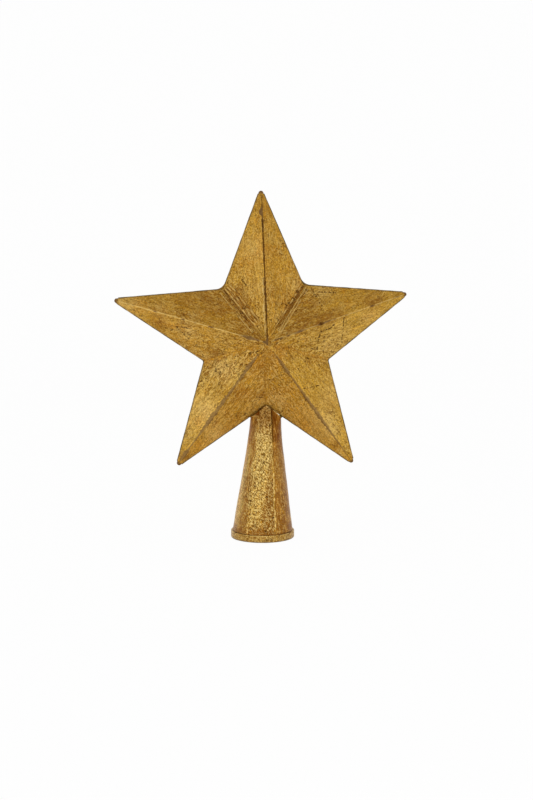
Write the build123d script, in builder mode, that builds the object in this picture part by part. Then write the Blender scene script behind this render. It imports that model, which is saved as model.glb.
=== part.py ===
from build123d import *
from math import cos, radians, sin, tan
import os

# Christmas tree topper: a double-sided star of folded sheet-metal points, soldered together and
# standing on a rolled cone that slips over the top shoot of the tree.
# Frame: origin at the centre of the socket's mouth, +Z up, the front of the star faces -Y.

# Sheet metal (all lengths in millimetres, all angles in degrees)
sheet = 0.5

# Star: even distances from its centre to a sharp tip and to an inner corner, and its depth on each side
point_reach = 113.8
notch_reach = 47.0
half_depth = 26.0
star_roll = 1.25

# What hand cutting added to the even star: reach and anticlockwise swing, seen from the front, of the tip of
# each point and of the inner corner on the left of each point
points = ("top", "left", "lower_left", "lower_right", "right")
tip_stretch = {"top": -2.4, "left": 2.5, "lower_left": 0.4, "lower_right": 0.7, "right": -0.9}
tip_swing = {"top": 0.2, "left": 1.3, "lower_left": -0.5, "lower_right": -1.3, "right": -0.9}
corner_stretch = {"top": 1.5, "left": -0.4, "lower_left": 0.0, "lower_right": 1.4, "right": 2.8}
corner_swing = {"top": 1.3, "left": -1.5, "lower_left": 0.0, "lower_right": 0.4, "right": 0.2}

# Lap flanges of the top point, which lie on the facets of its neighbours
lap_width = 3.4
lap_stop = 11.0

# Solder on the star
rim_thickness = 0.8
rim_width = 1.8
tip_radius = 2.0
tip_land = 1.0
upper_notch_radius = 8.0
lower_notch_radius = 2.0
valley_fill = 0.6
valley_stop = 5.0
centre_drop_radius = 4.2
centre_drop_proud = 0.25

# Socket: a cone that is pinched flat towards its top to meet the star's lowest corner
mouth_radius = 22.1
socket_length = 97.0
socket_lean = 2.66
pinch_start = 72.0
pinch_radius = 12.4
neck_half_width = 10.3
neck_half_depth = 6.5
neck_trim = 1.5
seam_angle = 19.5
lap_turn = 90.0
seam_fill = 0.3
seam_fill_turn = 6.0

# Band round the mouth
band_height = 5.4
band_thickness = 1.4
band_round = 0.5
band_gap = 0.8

# Drops of solder between the socket and the star
side_drop_radius = 2.0
tongue_drop_radius = 3.4
tongue_drop_sink = 2.0

# Tips and inner corners in the middle plane of the star, from its centre
sector_turn = 360 / len(points)
tips = {}
corners = {}
for count, name in enumerate(points):
    tip_turn = count * sector_turn + tip_swing[name]
    corner_turn = (count + 1 / 2) * sector_turn + corner_swing[name]
    tips[name] = Vector(0, point_reach + tip_stretch[name]).rotate(Axis.Z, tip_turn)
    corners[name] = Vector(0, notch_reach + corner_stretch[name]).rotate(Axis.Z, corner_turn)

# Places worked out from the sizes above
facet_rise = half_depth - rim_thickness / 2
band_radius = mouth_radius + band_thickness
neck_top = socket_length + neck_trim
star_right = Vector(cos(radians(star_roll)), 0, sin(radians(star_roll)))
star_up = Vector(-sin(radians(star_roll)), 0, cos(radians(star_roll)))
seat_corner = corners["lower_left"]
star_seat = Vector(socket_lean, 0, socket_length)
star_centre = star_seat - star_right * seat_corner.X - star_up * seat_corner.Y
middle = Plane(origin=star_centre, x_dir=star_right, z_dir=(0, -1, 0))
base = middle.offset(rim_thickness / 2)
apex = base.from_local_coords((0, 0, facet_rise))


# Places and planes on the front of the star
def beside(name, hand):
    """Point next to this one, on its left (1) or on its right (-1)."""
    return points[(points.index(name) + hand) % len(points)]


def corner_of(name, hand):
    """Inner corner next to a point, on its left (1) or on its right (-1)."""
    return corners[name if hand == 1 else beside(name, hand)]


def facet_plane(name, hand):
    """Outer face of a point on one side of its ridge, facing outward."""
    ridge = base.from_local_coords(tips[name]) - apex
    valley = base.from_local_coords(corner_of(name, hand)) - apex
    return Plane(origin=apex, x_dir=ridge, z_dir=ridge.cross(valley) * hand)


def tip_cut(name):
    """Cut across a point where its sheet and its rim end and the drop on its tip begins."""
    spread = (corner_of(name, 1) - tips[name]).get_angle(corner_of(name, -1) - tips[name])
    tip_trim = tip_radius / tan(radians(spread / 2)) + tip_land
    foot = tips[name] - tips[name].normalized() * tip_trim
    along = middle.from_local_coords(tips[name]) - star_centre
    return Plane(origin=middle.from_local_coords(foot), z_dir=along)


# Folded points
def point_block(name, inset):
    """Closed volume under the two facets of a point, or at an inset below them, down to the rim."""
    with BuildPart() as block:
        with BuildSketch(base):
            with BuildLine():
                Polyline((0, 0), corner_of(name, -1), tips[name], corner_of(name, 1), close=True)
            make_face()
        extrude(amount=facet_rise)
        for hand in (1, -1):
            split(bisect_by=facet_plane(name, hand).offset(-inset), keep=Keep.BOTTOM)
    return block.part


def lap_flange(name, hand):
    """Strip of a point's sheet that is bent over the valley and lies on the neighbour's facet."""
    neighbour = beside(name, hand)
    corner = base.from_local_coords(corner_of(name, hand))
    valley = apex - corner
    strip = Plane(origin=corner, x_dir=valley, z_dir=facet_plane(neighbour, -hand).z_dir)
    rim_run = strip.to_local_coords(base.from_local_coords(tips[neighbour]))
    rim_slope = rim_run.X / abs(rim_run.Y)
    away = rim_run.Y / abs(rim_run.Y)
    with BuildPart() as flange:
        with BuildSketch(strip):
            with BuildLine():
                Polyline(
                    (-sheet * rim_slope, -away * sheet),
                    (lap_width * rim_slope, away * lap_width),
                    (valley.length - lap_stop, away * lap_width),
                    (valley.length - lap_stop, -away * sheet),
                    close=True,
                )
            make_face()
        extrude(amount=sheet)
    return flange.part


def folded_point(name, laps):
    """One point: a kite of sheet folded along its ridge, open at the rim, the valleys and the tip."""
    with BuildPart() as point:
        add(point_block(name, 0))
        add(point_block(name, sheet), mode=Mode.SUBTRACT)
        split(bisect_by=tip_cut(name), keep=Keep.BOTTOM)
        add(laps)
    return point.part


# Front pieces and their mirror images on the back
def export_both_sides(front, name):
    """Write a piece of the front and its mirror image on the back, each as its own node."""
    with BuildPart() as back:
        mirror(front, about=Plane.XZ)
    for face_name, piece in (("front", front), ("back", back.part)):
        piece.label = f"{face_name}_{name}"
        export_step(piece, f"parts/{piece.label}.step")


os.makedirs("parts", exist_ok=True)
flanges = [lap_flange("top", hand) for hand in (1, -1)]
for name in points:
    laps = flanges if name == "top" else []
    export_both_sides(folded_point(name, laps), f"{name}_point")

# Closed volume of the whole star without its rim, to trim what lies on the outside of it
with BuildPart() as star_core:
    for name in points:
        add(point_block(name, 0))
    mirror(about=Plane.XZ)


# Rim: a run of solder between the front and back sheets, from tip to tip round each inner corner
def star_outline():
    """Sharp outline of the star in its middle plane."""
    with BuildSketch(middle) as outline:
        with BuildLine():
            turns = []
            for name in points:
                turns.append(tips[name])
                turns.append(corners[name])
            Polyline(*turns, close=True)
        make_face()
    return outline


with BuildPart() as rim_solder:
    with BuildSketch(middle.offset(-rim_thickness / 2)):
        add(star_outline().sketch_local)
        for name in points:
            upper = name in ("top", "right")
            corner_vertex = vertices().sort_by_distance(corners[name])[0]
            fillet(corner_vertex, radius=upper_notch_radius if upper else lower_notch_radius)
        offset(amount=-rim_width, kind=Kind.INTERSECTION, mode=Mode.SUBTRACT)
    extrude(amount=rim_thickness)
    for name in points:
        split(bisect_by=tip_cut(name), keep=Keep.BOTTOM)
rim_solder.part.label = "rim_solder"
export_step(rim_solder.part, "parts/rim_solder.step")


# Tips: a blunt drop of solder closes the end of each point
def tip_drop(name):
    """Drop on one tip, flush with the four facets that run into it."""
    with BuildPart() as half:
        with BuildSketch(middle):
            with BuildLine():
                Polyline((0, 0), corner_of(name, -1), tips[name], corner_of(name, 1), close=True)
            make_face()
            fillet(vertices().sort_by_distance(tips[name])[0], radius=tip_radius)
        extrude(amount=half_depth)
        for hand in (1, -1):
            split(bisect_by=facet_plane(name, hand), keep=Keep.BOTTOM)
        split(bisect_by=tip_cut(name), keep=Keep.TOP)
        mirror(about=Plane.XZ)
    return half.part


with BuildPart() as tip_solder:
    for name in points:
        add(tip_drop(name))
tip_solder.part.label = "tip_solder"
export_step(tip_solder.part, "parts/tip_solder.step")


# Valleys: a shallow run of solder in each fold between two points
def valley_run(name):
    """Wedge of solder that fills the valley on the left of a point."""
    corner = base.from_local_coords(corners[name])
    valley = apex - corner
    section = Plane(origin=corner, x_dir=base.z_dir.cross(valley), z_dir=valley)
    wedge = [(0, 0)]
    for side in (name, beside(name, 1)):
        facet_run = section.to_local_coords(base.from_local_coords(tips[side]))
        wedge.append((valley_fill * facet_run.X / facet_run.Y, valley_fill))
    with BuildPart() as run:
        with BuildSketch(section):
            with BuildLine():
                Polyline(*wedge, close=True)
            make_face()
        extrude(amount=valley.length - valley_stop)
    return run.part


with BuildPart() as valley_solder:
    for name in points:
        add(valley_run(name))
    add(flanges, mode=Mode.SUBTRACT)
export_both_sides(valley_solder.part, "valley_solder")

# Centre: a drop of solder over the apex on each side
with BuildPart() as centre_drop:
    with Locations(middle.offset(half_depth + centre_drop_proud - centre_drop_radius)):
        Sphere(centre_drop_radius)
    add(star_core.part, mode=Mode.SUBTRACT)
    add(valley_solder.part, mode=Mode.SUBTRACT)
export_both_sides(centre_drop.part, "centre_solder")


# Socket
def axis_at(height):
    """Centre of the leaning cone at a height above the mouth."""
    rise = (height - band_height) / (socket_length - band_height)
    return Vector(socket_lean * rise, 0, height)


def socket_layer(grow, shift):
    """Solid cone with its pinched neck, grown by a thickness and moved sideways by a vector."""
    sections = (
        (band_height, mouth_radius, mouth_radius),
        (pinch_start, pinch_radius, pinch_radius),
        (neck_top, neck_half_width, neck_half_depth),
    )
    with BuildPart() as layer:
        for height, half_width, half_length in sections:
            with BuildSketch(Plane(axis_at(height) + shift)):
                Ellipse(half_width + grow, half_length + grow)
        loft(ruled=True)
    return layer.part


def seam_plane(angle):
    """Plane through the leaning axis of the cone; it faces away from the lap."""
    outward = Vector(sin(radians(angle)), -cos(radians(angle)), 0)
    along = axis_at(neck_top) - axis_at(band_height)
    return Plane(origin=axis_at(band_height), x_dir=along, z_dir=outward.cross(along) * -1)


seam_direction = Vector(sin(radians(seam_angle)), -cos(radians(seam_angle)), 0)

# The lapped edge of the sheet: full thickness at the seam, running out where it meets the first turn
with BuildPart() as seam_lap:
    add(socket_layer(0, seam_direction * sheet))
    split(bisect_by=seam_plane(seam_angle), keep=Keep.BOTTOM)
    split(bisect_by=seam_plane(seam_angle - lap_turn), keep=Keep.TOP)

with BuildPart() as socket_cone:
    add(socket_layer(0, Vector()))
    add(seam_lap.part)
    with Locations((0, 0, band_height / 2)):
        Cylinder(mouth_radius, band_height)
        Cylinder(mouth_radius - sheet, band_height, mode=Mode.SUBTRACT)
    add(socket_layer(-sheet, Vector()), mode=Mode.SUBTRACT)
    extrude(star_outline().sketch, amount=mouth_radius, both=True, mode=Mode.SUBTRACT)
socket_cone.part.label = "socket_cone"
export_step(socket_cone.part, "parts/socket_cone.step")

with BuildPart() as socket_seam_solder:
    add(socket_layer(0, seam_direction * seam_fill))
    split(bisect_by=seam_plane(seam_angle), keep=Keep.TOP)
    split(bisect_by=seam_plane(seam_angle + seam_fill_turn), keep=Keep.BOTTOM)
    add(socket_layer(0, Vector()), mode=Mode.SUBTRACT)
    extrude(star_outline().sketch, amount=mouth_radius, both=True, mode=Mode.SUBTRACT)
socket_seam_solder.part.label = "socket_seam_solder"
export_step(socket_seam_solder.part, "parts/socket_seam_solder.step")


# Band round the mouth, bent from a flat strip and closed by a soldered butt joint at the back
def band_ring():
    """Full ring of the band with its outer edges rounded."""
    with BuildPart() as ring:
        with BuildSketch():
            Circle(band_radius)
            Circle(mouth_radius, mode=Mode.SUBTRACT)
        extrude(amount=band_height)
        fillet(edges().filter_by(GeomType.CIRCLE).sort_by(SortBy.RADIUS)[-2:], radius=band_round)
    return ring.part


def band_slot():
    """Gap between the two ends of the strip."""
    with BuildPart() as slot:
        with BuildSketch():
            with Locations((0, band_radius / 2)):
                Rectangle(band_gap, band_radius)
        extrude(amount=band_height)
    return slot.part


with BuildPart() as mouth_band:
    add(band_ring())
    add(band_slot(), mode=Mode.SUBTRACT)
mouth_band.part.label = "mouth_band"
export_step(mouth_band.part, "parts/mouth_band.step")

with BuildPart() as band_joint_solder:
    add(band_ring())
    add(band_slot(), mode=Mode.INTERSECT)
band_joint_solder.part.label = "band_joint_solder"
export_step(band_joint_solder.part, "parts/band_joint_solder.step")


# Joint of socket and star: a drop where each side wall meets the rim, and one behind each tongue
with BuildPart() as socket_joint_solder:
    for name, hand in (("lower_left", -1), ("lower_right", 1)):
        rim_axis = Axis(star_seat, middle.from_local_coords(tips[name]) - star_seat)
        wall_foot = axis_at(pinch_start) + Vector(hand * pinch_radius, 0, 0)
        wall_head = axis_at(neck_top) + Vector(hand * neck_half_width, 0, 0)
        with Locations(rim_axis.intersect(Axis(wall_foot, wall_head - wall_foot))):
            Sphere(side_drop_radius)
        with Locations(star_seat + Vector(0, hand * neck_half_depth / 2, -tongue_drop_sink)):
            Sphere(tongue_drop_radius)
    add(star_core.part, mode=Mode.SUBTRACT)
    add(rim_solder.part, mode=Mode.SUBTRACT)
    add(socket_cone.part, mode=Mode.SUBTRACT)
    add(valley_solder.part, mode=Mode.SUBTRACT)
    add(mirror(valley_solder.part, about=Plane.XZ, mode=Mode.PRIVATE), mode=Mode.SUBTRACT)
socket_joint_solder.part.label = "socket_joint_solder"
export_step(socket_joint_solder.part, "parts/socket_joint_solder.step")
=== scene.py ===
# %% [markdown]
# A gilded tree topper star, dressed in Blender.
# The object is a hollow star of folded tinplate, soldered together, covered with gold leaf and rubbed back
# so that brown bole and grey metal show at the folds. It stands on a rolled cone that slips over the top
# shoot of a tree. The solid model is loaded first as a fixed frame, so every piece made here has a place to
# fit.

# %% Load the frame
import functools
import math

import bmesh
import bpy
import numpy as np
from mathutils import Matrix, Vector, noise


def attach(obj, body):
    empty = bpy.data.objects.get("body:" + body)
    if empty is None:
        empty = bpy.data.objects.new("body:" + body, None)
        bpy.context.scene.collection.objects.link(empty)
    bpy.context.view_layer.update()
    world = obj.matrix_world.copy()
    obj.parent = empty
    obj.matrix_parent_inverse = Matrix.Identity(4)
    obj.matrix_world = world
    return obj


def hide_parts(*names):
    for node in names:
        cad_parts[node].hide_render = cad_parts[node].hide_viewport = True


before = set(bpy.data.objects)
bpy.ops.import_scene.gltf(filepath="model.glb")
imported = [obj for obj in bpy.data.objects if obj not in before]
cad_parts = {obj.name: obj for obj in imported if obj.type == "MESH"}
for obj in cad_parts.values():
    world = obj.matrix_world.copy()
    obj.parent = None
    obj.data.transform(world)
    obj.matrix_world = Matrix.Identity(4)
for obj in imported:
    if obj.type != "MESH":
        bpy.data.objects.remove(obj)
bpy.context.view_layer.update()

# %% [markdown]
# The sizes below are the maker's own: millimetres, with the origin in the middle of the socket's mouth. The
# star was cut by hand, so each tip and each inner corner gets a small stretch and swing of its own. Without
# them the star would look machine made, and its outline would miss the photograph by several pixels.

# %% Sizes of the star
MM = 0.001
point_names = ("top", "left", "lower_left", "lower_right", "right")
point_pitch = 360 / len(point_names)
point_reach = 113.8
notch_reach = 47.0
half_depth = 26.0
rim_half = 0.4
facet_rise = half_depth - rim_half
sheet = 0.5
star_roll = math.radians(1.25)
socket_length = 97.0
socket_lean = 2.66
# Stretch in mm and swing in degrees of each tip, and of the inner corner that follows it anticlockwise
tip_stretch = {"top": -2.4, "left": 2.5, "lower_left": 0.4, "lower_right": 0.7, "right": -0.9}
tip_swing = {"top": 0.2, "left": 1.3, "lower_left": -0.5, "lower_right": -1.3, "right": -0.9}
corner_stretch = {"top": 1.5, "left": -0.4, "lower_left": 0.0, "lower_right": 1.4, "right": 2.8}
corner_swing = {"top": 1.3, "left": -1.5, "lower_left": 0.0, "lower_right": 0.4, "right": 0.2}
star_seat = np.array([socket_lean, socket_length])
star_centre = star_seat + notch_reach * np.array([-math.sin(star_roll), math.cos(star_roll)])


def turned(reach, degrees):
    """Place at a distance from the star's centre, turned anticlockwise from straight up."""
    angle = math.radians(degrees)
    return np.array([-reach * math.sin(angle), reach * math.cos(angle)])


tips, corners, corner_turns = {}, {}, []
for count, name in enumerate(point_names):
    corner_turns.append(point_pitch * (count + 0.5) + corner_swing[name])
    tips[name] = turned(point_reach + tip_stretch[name], point_pitch * count + tip_swing[name])
    corners[name] = turned(notch_reach + corner_stretch[name], corner_turns[-1])
print("tips (right, up) mm:", {name: tip.round(1).tolist() for name, tip in tips.items()})

# %% [markdown]
# Each point is a kite: its ridge runs out from the centre, and an inner corner lies on each side. A small
# description of every point, in its own directions along and across the ridge, is worked out once. With it
# one formula gives the height of the folded sheet at any place, so that solder, flanges and drops can
# follow the sheet that they lie on. Hand 1 is the facet clockwise of the ridge, and hand -1 the other one.

# %% Points of the star
layout = {}
for count, name in enumerate(point_names):
    reach = np.linalg.norm(tips[name])
    along = tips[name] / reach
    across = np.array([along[1], -along[0]])
    hands = {}
    for hand, corner in ((-1, corners[name]), (1, corners[point_names[count - 1]])):
        side, up = abs(corner @ across), corner @ along
        hands[hand] = {"side": side, "up": up, "fall": (1 - up / reach) / side, "corner": corner}
    layout[name] = {"reach": reach, "along": along, "across": across, "hands": hands}
print("ridges mm in plan:", {name: round(point["reach"], 1) for name, point in layout.items()})

# %% [markdown]
# Three small helpers serve all pieces. The first turns a place in the star's plane, which is rolled a
# little, into a place in the frame. The second is a smooth step, for everything that fades in or out. The
# third is soft noise with a seed of its own for each use, for the lumps and waves that hand work leaves.

# %% Places, steps and lumps
def to_row(right, up, depth, facing):
    """Row-frame place of a point given in the star's plane; facing is 1 on the front and -1 on the back."""
    x = star_centre[0] + right * math.cos(star_roll) - up * math.sin(star_roll)
    z = star_centre[1] + right * math.sin(star_roll) + up * math.cos(star_roll)
    return np.stack(np.broadcast_arrays(x, -facing * depth, z), axis=-1)


def ease(value, low, high):
    """Smooth step from 0 at low to 1 at high."""
    t = np.clip((value - low) / (high - low), 0, 1)
    return t * t * (3 - 2 * t)


seed_stride = 17.3


def lumps(places, size, seed):
    """Soft noise between -1 and 1 at every place; size is the width of a lump in millimetres."""
    flat = np.asarray(places, float).reshape(-1, 3) / size + seed * seed_stride
    values = [noise.noise(Vector(place)) for place in flat]
    return np.array(values).reshape(np.shape(places)[:-1])


print("centre of the star mm:", to_row(0, 0, 0, 1).round(2).tolist())

# %% [markdown]
# Sheet that was cut, folded and hammered by hand is never flat. Broad dents bend the reflections slowly and
# smaller ones break them up. They are real geometry, so they also show in the outline of the light. Dents
# fade out at the rim and at the apex, where solder holds the sheet.

# %% Height of the folded sheet
broad_dent, broad_size = 0.30, 24
small_dent, small_size = 0.09, 7


def dents(right, up, depth, facing):
    """How far the sheet is pushed in or out by hand work."""
    places = to_row(right, up, np.zeros_like(right), facing) + [0, 40 * facing, 0]
    held = ease(depth, 0.5, 6) * ease(np.hypot(right, up), 4, 16)
    return held * (broad_dent * lumps(places, broad_size, 1) + small_dent * lumps(places, small_size, 2))


def sheet_depth(right, up, facing):
    """Depth of the star's skin, dents included, at places in its plane."""
    turn = np.degrees(np.arctan2(-right, up)) % 360
    sector = np.searchsorted(corner_turns, turn) % len(point_names)
    depth = np.zeros_like(right)
    for count, name in enumerate(point_names):
        point = layout[name]
        x = right * point["across"][0] + up * point["across"][1]
        y = right * point["along"][0] + up * point["along"][1]
        fall = np.where(x < 0, point["hands"][-1]["fall"], point["hands"][1]["fall"])
        roof = rim_half + facet_rise * (1 - y / point["reach"] - fall * np.abs(x))
        depth = np.where(sector == count, roof, depth)
    return depth + dents(right, up, depth, facing)


print("depth at the centre mm:", sheet_depth(np.zeros(1), np.zeros(1) + 0.01, 1).round(2).tolist())

# %% [markdown]
# All pieces are closed skins, because thin metal still has two sides and an edge. A skin is made from a grid
# of places on its outside and a matching grid on its inside, joined by walls. Rods and drops are made from
# rings. A modifier could thicken an open sheet, but two grids leave the inside and the edge free to differ.
# Each place also carries marks: distances in millimetres to the nearest ridge, rim or groove, which the
# finishes read later to put wear where hands and rags would have left it and painted shade in the grooves.
# Other marks give amounts of painted shade and painted highlight.

# %% Closed skins
far = 90.0
# Run, side and piece place the patterns of the rag; piece differs, so that no two pieces share a streak
# Among the marks, one darkens the leaf as painted shade and one lightens it as painted highlight; rubbing is
# partly painted shade, and the distance to a groove places painted shade
mark_defaults = {
    "ridge_mm": far, "ridge_width": 0.0, "ridge_tone": 0.0, "ridge_cover": 0.9,
    "edge_mm": far, "groove_mm": far, "rubbed": 0.0, "crackle": 0.0, "warm": 0.0, "deep": 0.0, "bright": 0.0,
    "run_mm": 0.0, "side_mm": 0.0, "piece": 0.0}


def quads_of(grid):
    """Four-cornered faces between the rows and columns of a grid of vertex numbers."""
    return np.stack([grid[:-1, :-1], grid[:-1, 1:], grid[1:, 1:], grid[1:, :-1]], -1).reshape(-1, 4)


def skin_between(outer, inner, **marks):
    """Closed skin between two grids of places (rows, columns, 3)."""
    rows, columns = outer.shape[:2]
    index = np.arange(rows * columns).reshape(rows, columns)
    under = index + rows * columns
    faces = quads_of(index).tolist() + quads_of(under)[:, ::-1].tolist()
    edges = [(index[0, ::-1], under[0, ::-1]), (index[-1], under[-1]),
             (index[:, 0], under[:, 0]), (index[::-1, -1], under[::-1, -1])]
    for top, low in edges:
        faces += np.stack([top[:-1], top[1:], low[1:], low[:-1]], -1).tolist()
    places = np.concatenate([outer.reshape(-1, 3), inner.reshape(-1, 3)])
    spread = {key: np.tile(np.broadcast_to(value, (rows, columns)).ravel(), 2)
              for key, value in marks.items()}
    return {"places": places, "faces": faces, "marks": spread}


def skin_of_rings(rings, **marks):
    """Closed skin through a row of rings (rings, sides, 3), shut at both ends."""
    count, sides = rings.shape[:2]
    index = np.arange(count * sides).reshape(count, sides)
    quads = quads_of(np.hstack([index, index[:, :1]]))
    faces = quads.tolist() + [index[0, ::-1].tolist(), index[-1].tolist()]
    spread = {key: np.broadcast_to(value, (count, sides)).ravel() for key, value in marks.items()}
    return {"places": rings.reshape(-1, 3), "faces": faces, "marks": spread}


print("marks that every piece carries:", ", ".join(mark_defaults))

# %% [markdown]
# One function turns skins into a finished piece. It joins them in one mesh, stores the marks at the
# vertices, turns the faces outwards and counts open edges as a test. Folds steeper than 38 degrees stay
# crisp, and all else is shaded smooth. The piece then rides on the frame's body and stands for the plain
# solid there, so that the solid is hidden in pictures and still there for collisions.

# %% Turn skins into a piece
crisp_fold = math.radians(38)


def make_piece(name, skins, material, slot, *nodes):
    """One mesh object from several closed skins, riding on the body and standing for CAD nodes."""
    places, faces, marks = [], [], {key: [] for key in mark_defaults}
    start = 0
    for skin in skins:
        places.append(skin["places"])
        faces += [[corner + start for corner in face] for face in skin["faces"]]
        for key, default in mark_defaults.items():
            marks[key].append(skin["marks"].get(key, np.full(len(skin["places"]), default)))
        start += len(skin["places"])
    mesh = bpy.data.meshes.new(name)
    mesh.from_pydata((np.concatenate(places) * MM).tolist(), [], faces)
    for key, parts in marks.items():
        mesh.attributes.new(key, "FLOAT", "POINT").data.foreach_set("value", np.concatenate(parts))
    shape = bmesh.new()
    shape.from_mesh(mesh)
    bmesh.ops.recalc_face_normals(shape, faces=shape.faces)
    open_edges = sum(not edge.is_manifold for edge in shape.edges)
    shape.to_mesh(mesh)
    shape.free()
    mesh.shade_smooth()
    mesh.set_sharp_from_angle(angle=crisp_fold)
    mesh.materials.append(material)
    piece = bpy.data.objects.new(name, mesh)
    bpy.context.scene.collection.objects.link(piece)
    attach(piece, "root")
    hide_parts(*nodes)
    print(f"{name}: {len(skins)} skins, {len(mesh.vertices)} vertices, {open_edges} open edges")


# %% [markdown]
# Colours are written as sRGB hex values, the way a colour picker shows them, and turned to linear light by
# one function. One more small function adds a shader node, sets it up and links it. Pattern sizes are given
# in millimetres and turned into the scale of a texture that runs over places in metres.

# %% Helpers for finishes
def linear(hex_colour):
    """Linear RGBA of an sRGB hex colour."""
    values = [int(hex_colour[i:i + 2], 16) / 255 for i in (1, 3, 5)]
    return [v / 12.92 if v <= 0.04045 else ((v + 0.055) / 1.055) ** 2.4 for v in values] + [1.0]


def add_node(tree, kind, inputs=(), out=0, **settings):
    """Add a node, set its properties, set or link its inputs in order or by name, and return one output."""
    node = tree.nodes.new("ShaderNode" + kind)
    for key, value in settings.items():
        setattr(node, key, value)
    for key, value in inputs.items() if isinstance(inputs, dict) else enumerate(inputs):
        if isinstance(value, bpy.types.NodeSocket):
            tree.links.new(value, node.inputs[key])
        else:
            node.inputs[key].default_value = value
    return node.outputs[out]


def per_metre(size_mm):
    """Texture scale at which one cell of a pattern is size_mm wide."""
    return 1000 / size_mm


# Settings that many nodes share: a soft range, and the kinds of sums
soft = {"interpolation_type": "SMOOTHSTEP"}
times, over, minus, larger, unsigned, fused = (
    {"operation": kind} for kind in ("MULTIPLY", "DIVIDE", "SUBTRACT", "MAXIMUM", "ABSOLUTE", "MULTIPLY_ADD"))
print("middle grey in linear light:", round(linear("#808080")[0], 3))

# %% [markdown]
# Gold leaf on tinplate: thin sheets of beaten metal laid over brown bole and then rubbed. The eye sees a
# soft metal whose colour drifts from yellow to brown over a few centimetres, streaks along the way the rag
# was pulled, wrinkles that are pale on one side and brown on the other, and dark pits and cracks where the
# bole shows. It is a metal with a rather high roughness, so it glows more than it shines. A picture of real
# leaf could be wrapped round the sheets, but noise over places in the frame needs no seams and can follow
# the marks of wear. Each kind of trace gets a layer in one of the next cells, and the last of them lays the
# layers on top of each other.

# %% Colours of leaf, bole and metal
# The pale leaf also paints highlights, and the deep leaf is leaf as it looks in shade, used for painted shade
leaf_pale, leaf_yellow, leaf_gold = linear("#e4c070"), linear("#d2a644"), linear("#bd9130")
leaf_brown, leaf_orange, leaf_deep = linear("#9c6e22"), linear("#c07e18"), linear("#92600a")
# The groove colour is painted shade for grooves and the foot of steps
bole_brown, bole_dark, groove_shade_colour = linear("#7a460c"), linear("#3e2006"), linear("#5a340c")
ridge_dark, rubbed_grey, rim_grey = linear("#462200"), linear("#7c5e3a"), linear("#7a6848")
print("gold of the leaf in linear light:", [round(v, 3) for v in leaf_gold[:3]])

# %% [markdown]
# The leaf itself. Gold drifts to brown over 4 cm, and to yellow and orange over 1 cm. A warm mark pushes it
# further, a mark of painted shade darkens it towards leaf in shade, and a mark of painted highlight lightens
# it, never evenly. Under the leaf lies the grain of the primer, and over it run the streaks of the rag:
# hair-fine ones 20 mm long, and broad ones 3 mm wide. Streaks along one axis of the frame would be simpler,
# but each point of the star was rubbed along its own ridge, so they follow the run and side marks.

# %% Colour, grain and streaks
def patches(put, spot, size_mm, low, high, most=1.0, least=0.0, **noise_inputs):
    """Soft patches about size_mm wide: least where the noise is under low, most where it is over high."""
    cloud = put("TexNoise", {"Vector": spot, "Scale": per_metre(size_mm), "Detail": 3, **noise_inputs})
    return put("MapRange", (cloud, low, high, least, most), **soft)


def rag_lane(put, here, wide, long, slant=0.0):
    """Texture place that stretches a pattern along the way of the rag: wide by long millimetres a cell."""
    side = put("Math", (here["run_mm"], slant, here["side_mm"]), **fused)
    return put("CombineXYZ", (put("Math", (side, wide), **over), put("Math", (here["run_mm"], long), **over),
                              here["piece"]))


def whole_leaf(put, here, finish):
    """Colour of the leaf before wear, with its painted shade and painted highlight."""
    cloud = put("TexNoise", {"Vector": here["place"], "Scale": per_metre(9), "Detail": 4})
    uneven = put("MapRange", (cloud, 0.3, 0.65, 0.55, 1.0), **soft)
    layers = [(patches(put, here["place"], 38, 0.44, 0.72, finish["brown"]), leaf_brown),
              (put("MapRange", (cloud, 0.48, 0.72, 0, finish["yellow"]), **soft), leaf_yellow),
              (patches(put, here["apart"], 14, 0.5, 0.72, finish["orange"], Detail=4), leaf_orange)]
    # Warmth is the leaf's own colour; the next mark is painted shade, towards leaf in shade, and the last is
    # painted highlight
    for mark, tint in (("warm", leaf_orange), ("deep", leaf_deep), ("bright", finish["highlight"])):
        layers.append((put("Math", (here[mark], uneven), **times), tint))
    colour = finish["gold"]
    for share, tint in layers:
        colour = put("MixRGB", (share, colour, tint))

    tones = [(here["grain"], 0.3, 0.7, finish["grain"])]
    for wide, long, share in ((0.8, 20, 1.0), (3.0, 45, 0.6)):
        lane = rag_lane(put, here, wide, long)
        streak = put("TexNoise", {"Vector": lane, "Scale": 1, "Detail": 2, "Distortion": 0.3})
        tones.append((streak, 0.32, 0.68, share * finish["streak"]))
    for pattern, low, high, amount in tones:
        tone = put("MapRange", (pattern, low, high, 1 - amount, 1 + amount))
        colour = put("MixRGB", (1.0, colour, tone), blend_type="MULTIPLY")
    return colour


# %% [markdown]
# Wrinkles and flakes. Leaf is so thin that it wrinkles as it is laid. A wrinkle is a thin line, pale on its
# crest as painted highlight and brown beside that as painted shade, and it comes out of noise as the band
# where the noise has a certain value. Later the leaf flakes in chips about 1 mm across, pale or worn brown,
# which lie at a slant on the socket; the pale chips are partly painted glints. Both crowd together in some
# patches, and where a sheet is marked as crackled.

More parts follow.
